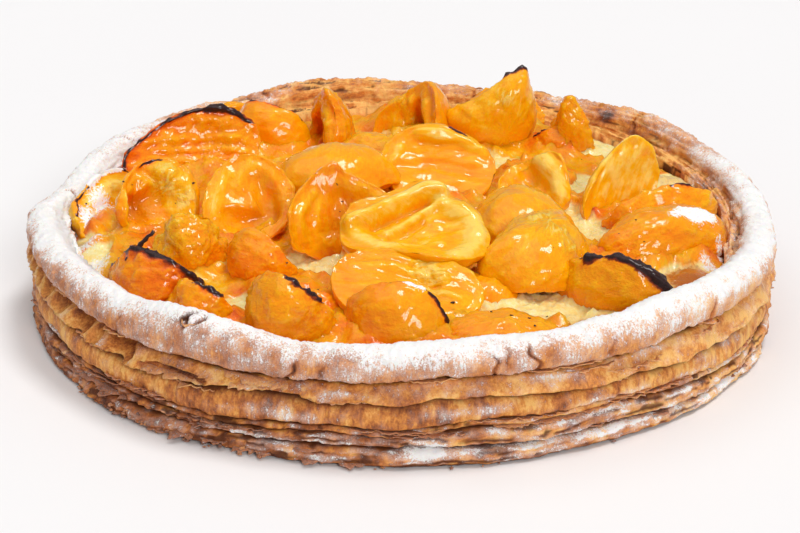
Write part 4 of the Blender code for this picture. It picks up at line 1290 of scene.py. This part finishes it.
def custard_material():
    """Baked custard: creamy yellow and porous, browned in places, and amber where sunken fruit shows."""
    surface = Surface("baked_custard")
    broad = surface.noise(5.0, 4)
    fine = surface.noise(1.5, 5, 0.7)
    pores = surface.noise(0.8, 3, 0.6)
    cream = ramp(broad * 0.4 + fine * 0.6, CREAM_COLOURS)
    sunken = ramp(surface.value("tone_and_shade") + fine * 0.5 - 0.25, FLESH_COLOURS)
    colour = mixed(between(surface.value("juice") + fine * 0.5 - 0.25, 0.25, 0.75), cream, sunken)
    colour = mixed(between(surface.value("browned") + fine - 0.5, 0.3, 1.0), colour, BROWNED)
    dust = between(surface.value("powder") + pores * 1.6 - 0.8, 0.3, 0.8)
    inputs = {
        "Base Color": mixed(dust, colour, SUGAR),
        "Roughness": between(dust, 0.0, 1.0, 0.42, 0.65),
        "Coat Weight": between(dust, 0.0, 1.0, 0.9, 0.05),
        "Coat Roughness": 0.12,
        "Coat IOR": 1.34,
        "Specular IOR Level": 0.1,
        "Subsurface Weight": 0.45,
        "Subsurface Radius": (1.0, 0.7, 0.3),
        "Subsurface Scale": 3.0 * MM,
    }
    return surface.finished(inputs, [(broad, 0.7, 1.4), (fine, 0.9, 0.9), (pores, 0.6, 0.35)])


def apricot_material():
    """Baked apricot: translucent and glossy, red-orange to yellow, with burnt edges and a little sugar."""
    surface = Surface("baked_apricot")
    own = surface.value("own", "Vector")
    broad = surface.noise(6.0, 3)
    fine = surface.noise(2.2, 4, 0.6, (1.6, 1, 1), own)
    small = surface.noise(1.0, 3, 0.6)
    fibre = surface.noise(0.8, 3, 0.6, (6, 1, 1), own)
    # The flesh colour from the tone, which carries painted light and shade
    flesh = ramp(surface.value("tone_and_shade") + broad * 0.34 + fine * 0.26 + fibre * 0.3 - 0.43, FLESH_COLOURS)
    deep = between(surface.value("amber") + broad * 0.8 - 0.4, 0.2, 1.2, 0.0, 0.7)
    char = surface.value("char") + small * 0.4 - 0.2
    black = between(char, 0.4, 0.75)
    colour = mixed(black, mixed(between(char, 0.06, 0.4), mixed(deep, flesh, AMBER), SINGED), BLACK)
    dust = between(surface.value("powder") + small * 1.8 - 0.9, 0.35, 0.75)
    wrinkled = surface.value("crumple") * 1.3 + 0.15
    inputs = {
        "Base Color": mixed(dust, colour, SUGAR),
        "Roughness": between(dust, 0.0, 1.0, 0.4, 0.6),
        "Coat Weight": between(dust + black * 0.2, 0.0, 1.0, 1.0, 0.05),
        "Coat Roughness": 0.08,
        "Coat IOR": 1.37,
        "Specular IOR Level": 0.05,
        "Subsurface Weight": 0.45,
        "Subsurface Radius": (1.0, 0.62, 0.12),
        "Subsurface Scale": 2.5 * MM,
    }
    bumps = [(broad, 0.5, 0.6), (fine * wrinkled, 0.9, 1.0), (small * wrinkled, 0.8, 0.7), (fibre, 0.6, 0.28)]
    return surface.finished(inputs, bumps)


def floor_material():
    """An even, nearly white floor."""
    surface = Surface("studio_floor")
    return surface.finished({"Base Color": ramp(surface.noise(300.0, 1), FLOOR_COLOURS), "Roughness": 0.7})


def studio():
    """A pale floor, an even bright world and soft lights, the strongest high up and a little to the right."""
    corners = [(-FLOOR_REACH, -FLOOR_REACH, 0), (FLOOR_REACH, -FLOOR_REACH, 0)]
    corners += [(FLOOR_REACH, FLOOR_REACH, 0), (-FLOOR_REACH, FLOOR_REACH, 0)]
    floor = mesh_piece("floor", corners, [(0, 1, 2, 3)], {})
    floor.location.z = -0.2 * MM
    floor.data.materials.append(floor_material())
    world = bpy.data.worlds.new("studio_world")
    world.use_nodes = True
    world.node_tree.nodes["Background"].inputs["Color"].default_value = WORLD_COLOUR
    world.node_tree.nodes["Background"].inputs["Strength"].default_value = WORLD_STRENGTH
    bpy.context.scene.world = world
    for name, place, spread, strength in LIGHTS:
        lamp = bpy.data.lights.new(name, "SUN")
        lamp.angle = math.radians(spread)
        lamp.energy = strength
        holder = bpy.data.objects.new(name, lamp)
        holder.location = Vector(place) * MM
        holder.rotation_euler = (-holder.location).to_track_quat("-Z", "Y").to_euler()
        bpy.context.scene.collection.objects.link(holder)


def camera():
    """The photograph's camera."""
    above = math.radians(CAMERA_ABOVE)
    place = Vector((CAMERA_SIDE, -CAMERA_DISTANCE * math.cos(above), CAMERA_DISTANCE * math.sin(above)))
    data = bpy.data.cameras.new("photo_camera")
    data.lens = CAMERA_LENS
    data.sensor_width = SENSOR_WIDTH
    data.clip_start = 0.05
    data.clip_end = 50.0
    made = bpy.data.objects.new("photo_camera", data)
    made.matrix_world = (
        Matrix.Translation(place * MM)
        @ Matrix.Rotation(math.radians(90 - CAMERA_PITCH), 4, "X")
        @ Matrix.Rotation(math.radians(-CAMERA_ROLL), 4, "Z")
    )
    bpy.context.scene.collection.objects.link(made)
    bpy.context.scene.camera = made


def dress(piece, surface, slot, *nodes):
    """Gives a piece its material and its place in the frame, and hides the nodes that it stands for."""
    piece.data.materials.append(surface)
    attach(piece, "root")
    if nodes:
        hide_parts(*nodes)


def main():
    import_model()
    bpy.context.scene.view_settings.view_transform = "Standard"
    random = np.random.default_rng(RANDOM_SEED)
    pastry = pastry_material()
    flesh = apricot_material()
    halves = []
    for number, half in enumerate(FRUIT, 1):
        node = f"apricot_{number:02d}"
        halves.append(apricot(node + "_flesh", number, half))
        dress(halves[-1], flesh, "apricot_flesh", node)
    custard = custard_piece(fruit_tree(halves))
    dress(custard, custard_material(), "custard", "custard")
    dress(burnt_specks(fruit_tree([*halves, custard]), random), flesh, "apricot_flesh")
    dress(burnt_stalk(), flesh, "apricot_flesh")
    dress(crust_side(), pastry, "baked_pastry", "crust")
    dress(crust_roll(), pastry, "baked_pastry", "crust")
    dress(crust_flakes(random), pastry, "baked_pastry")
    dress(crust_crumbs(random), pastry, "baked_pastry")
    studio()
    camera()
    bpy.context.view_layer.update()


main()
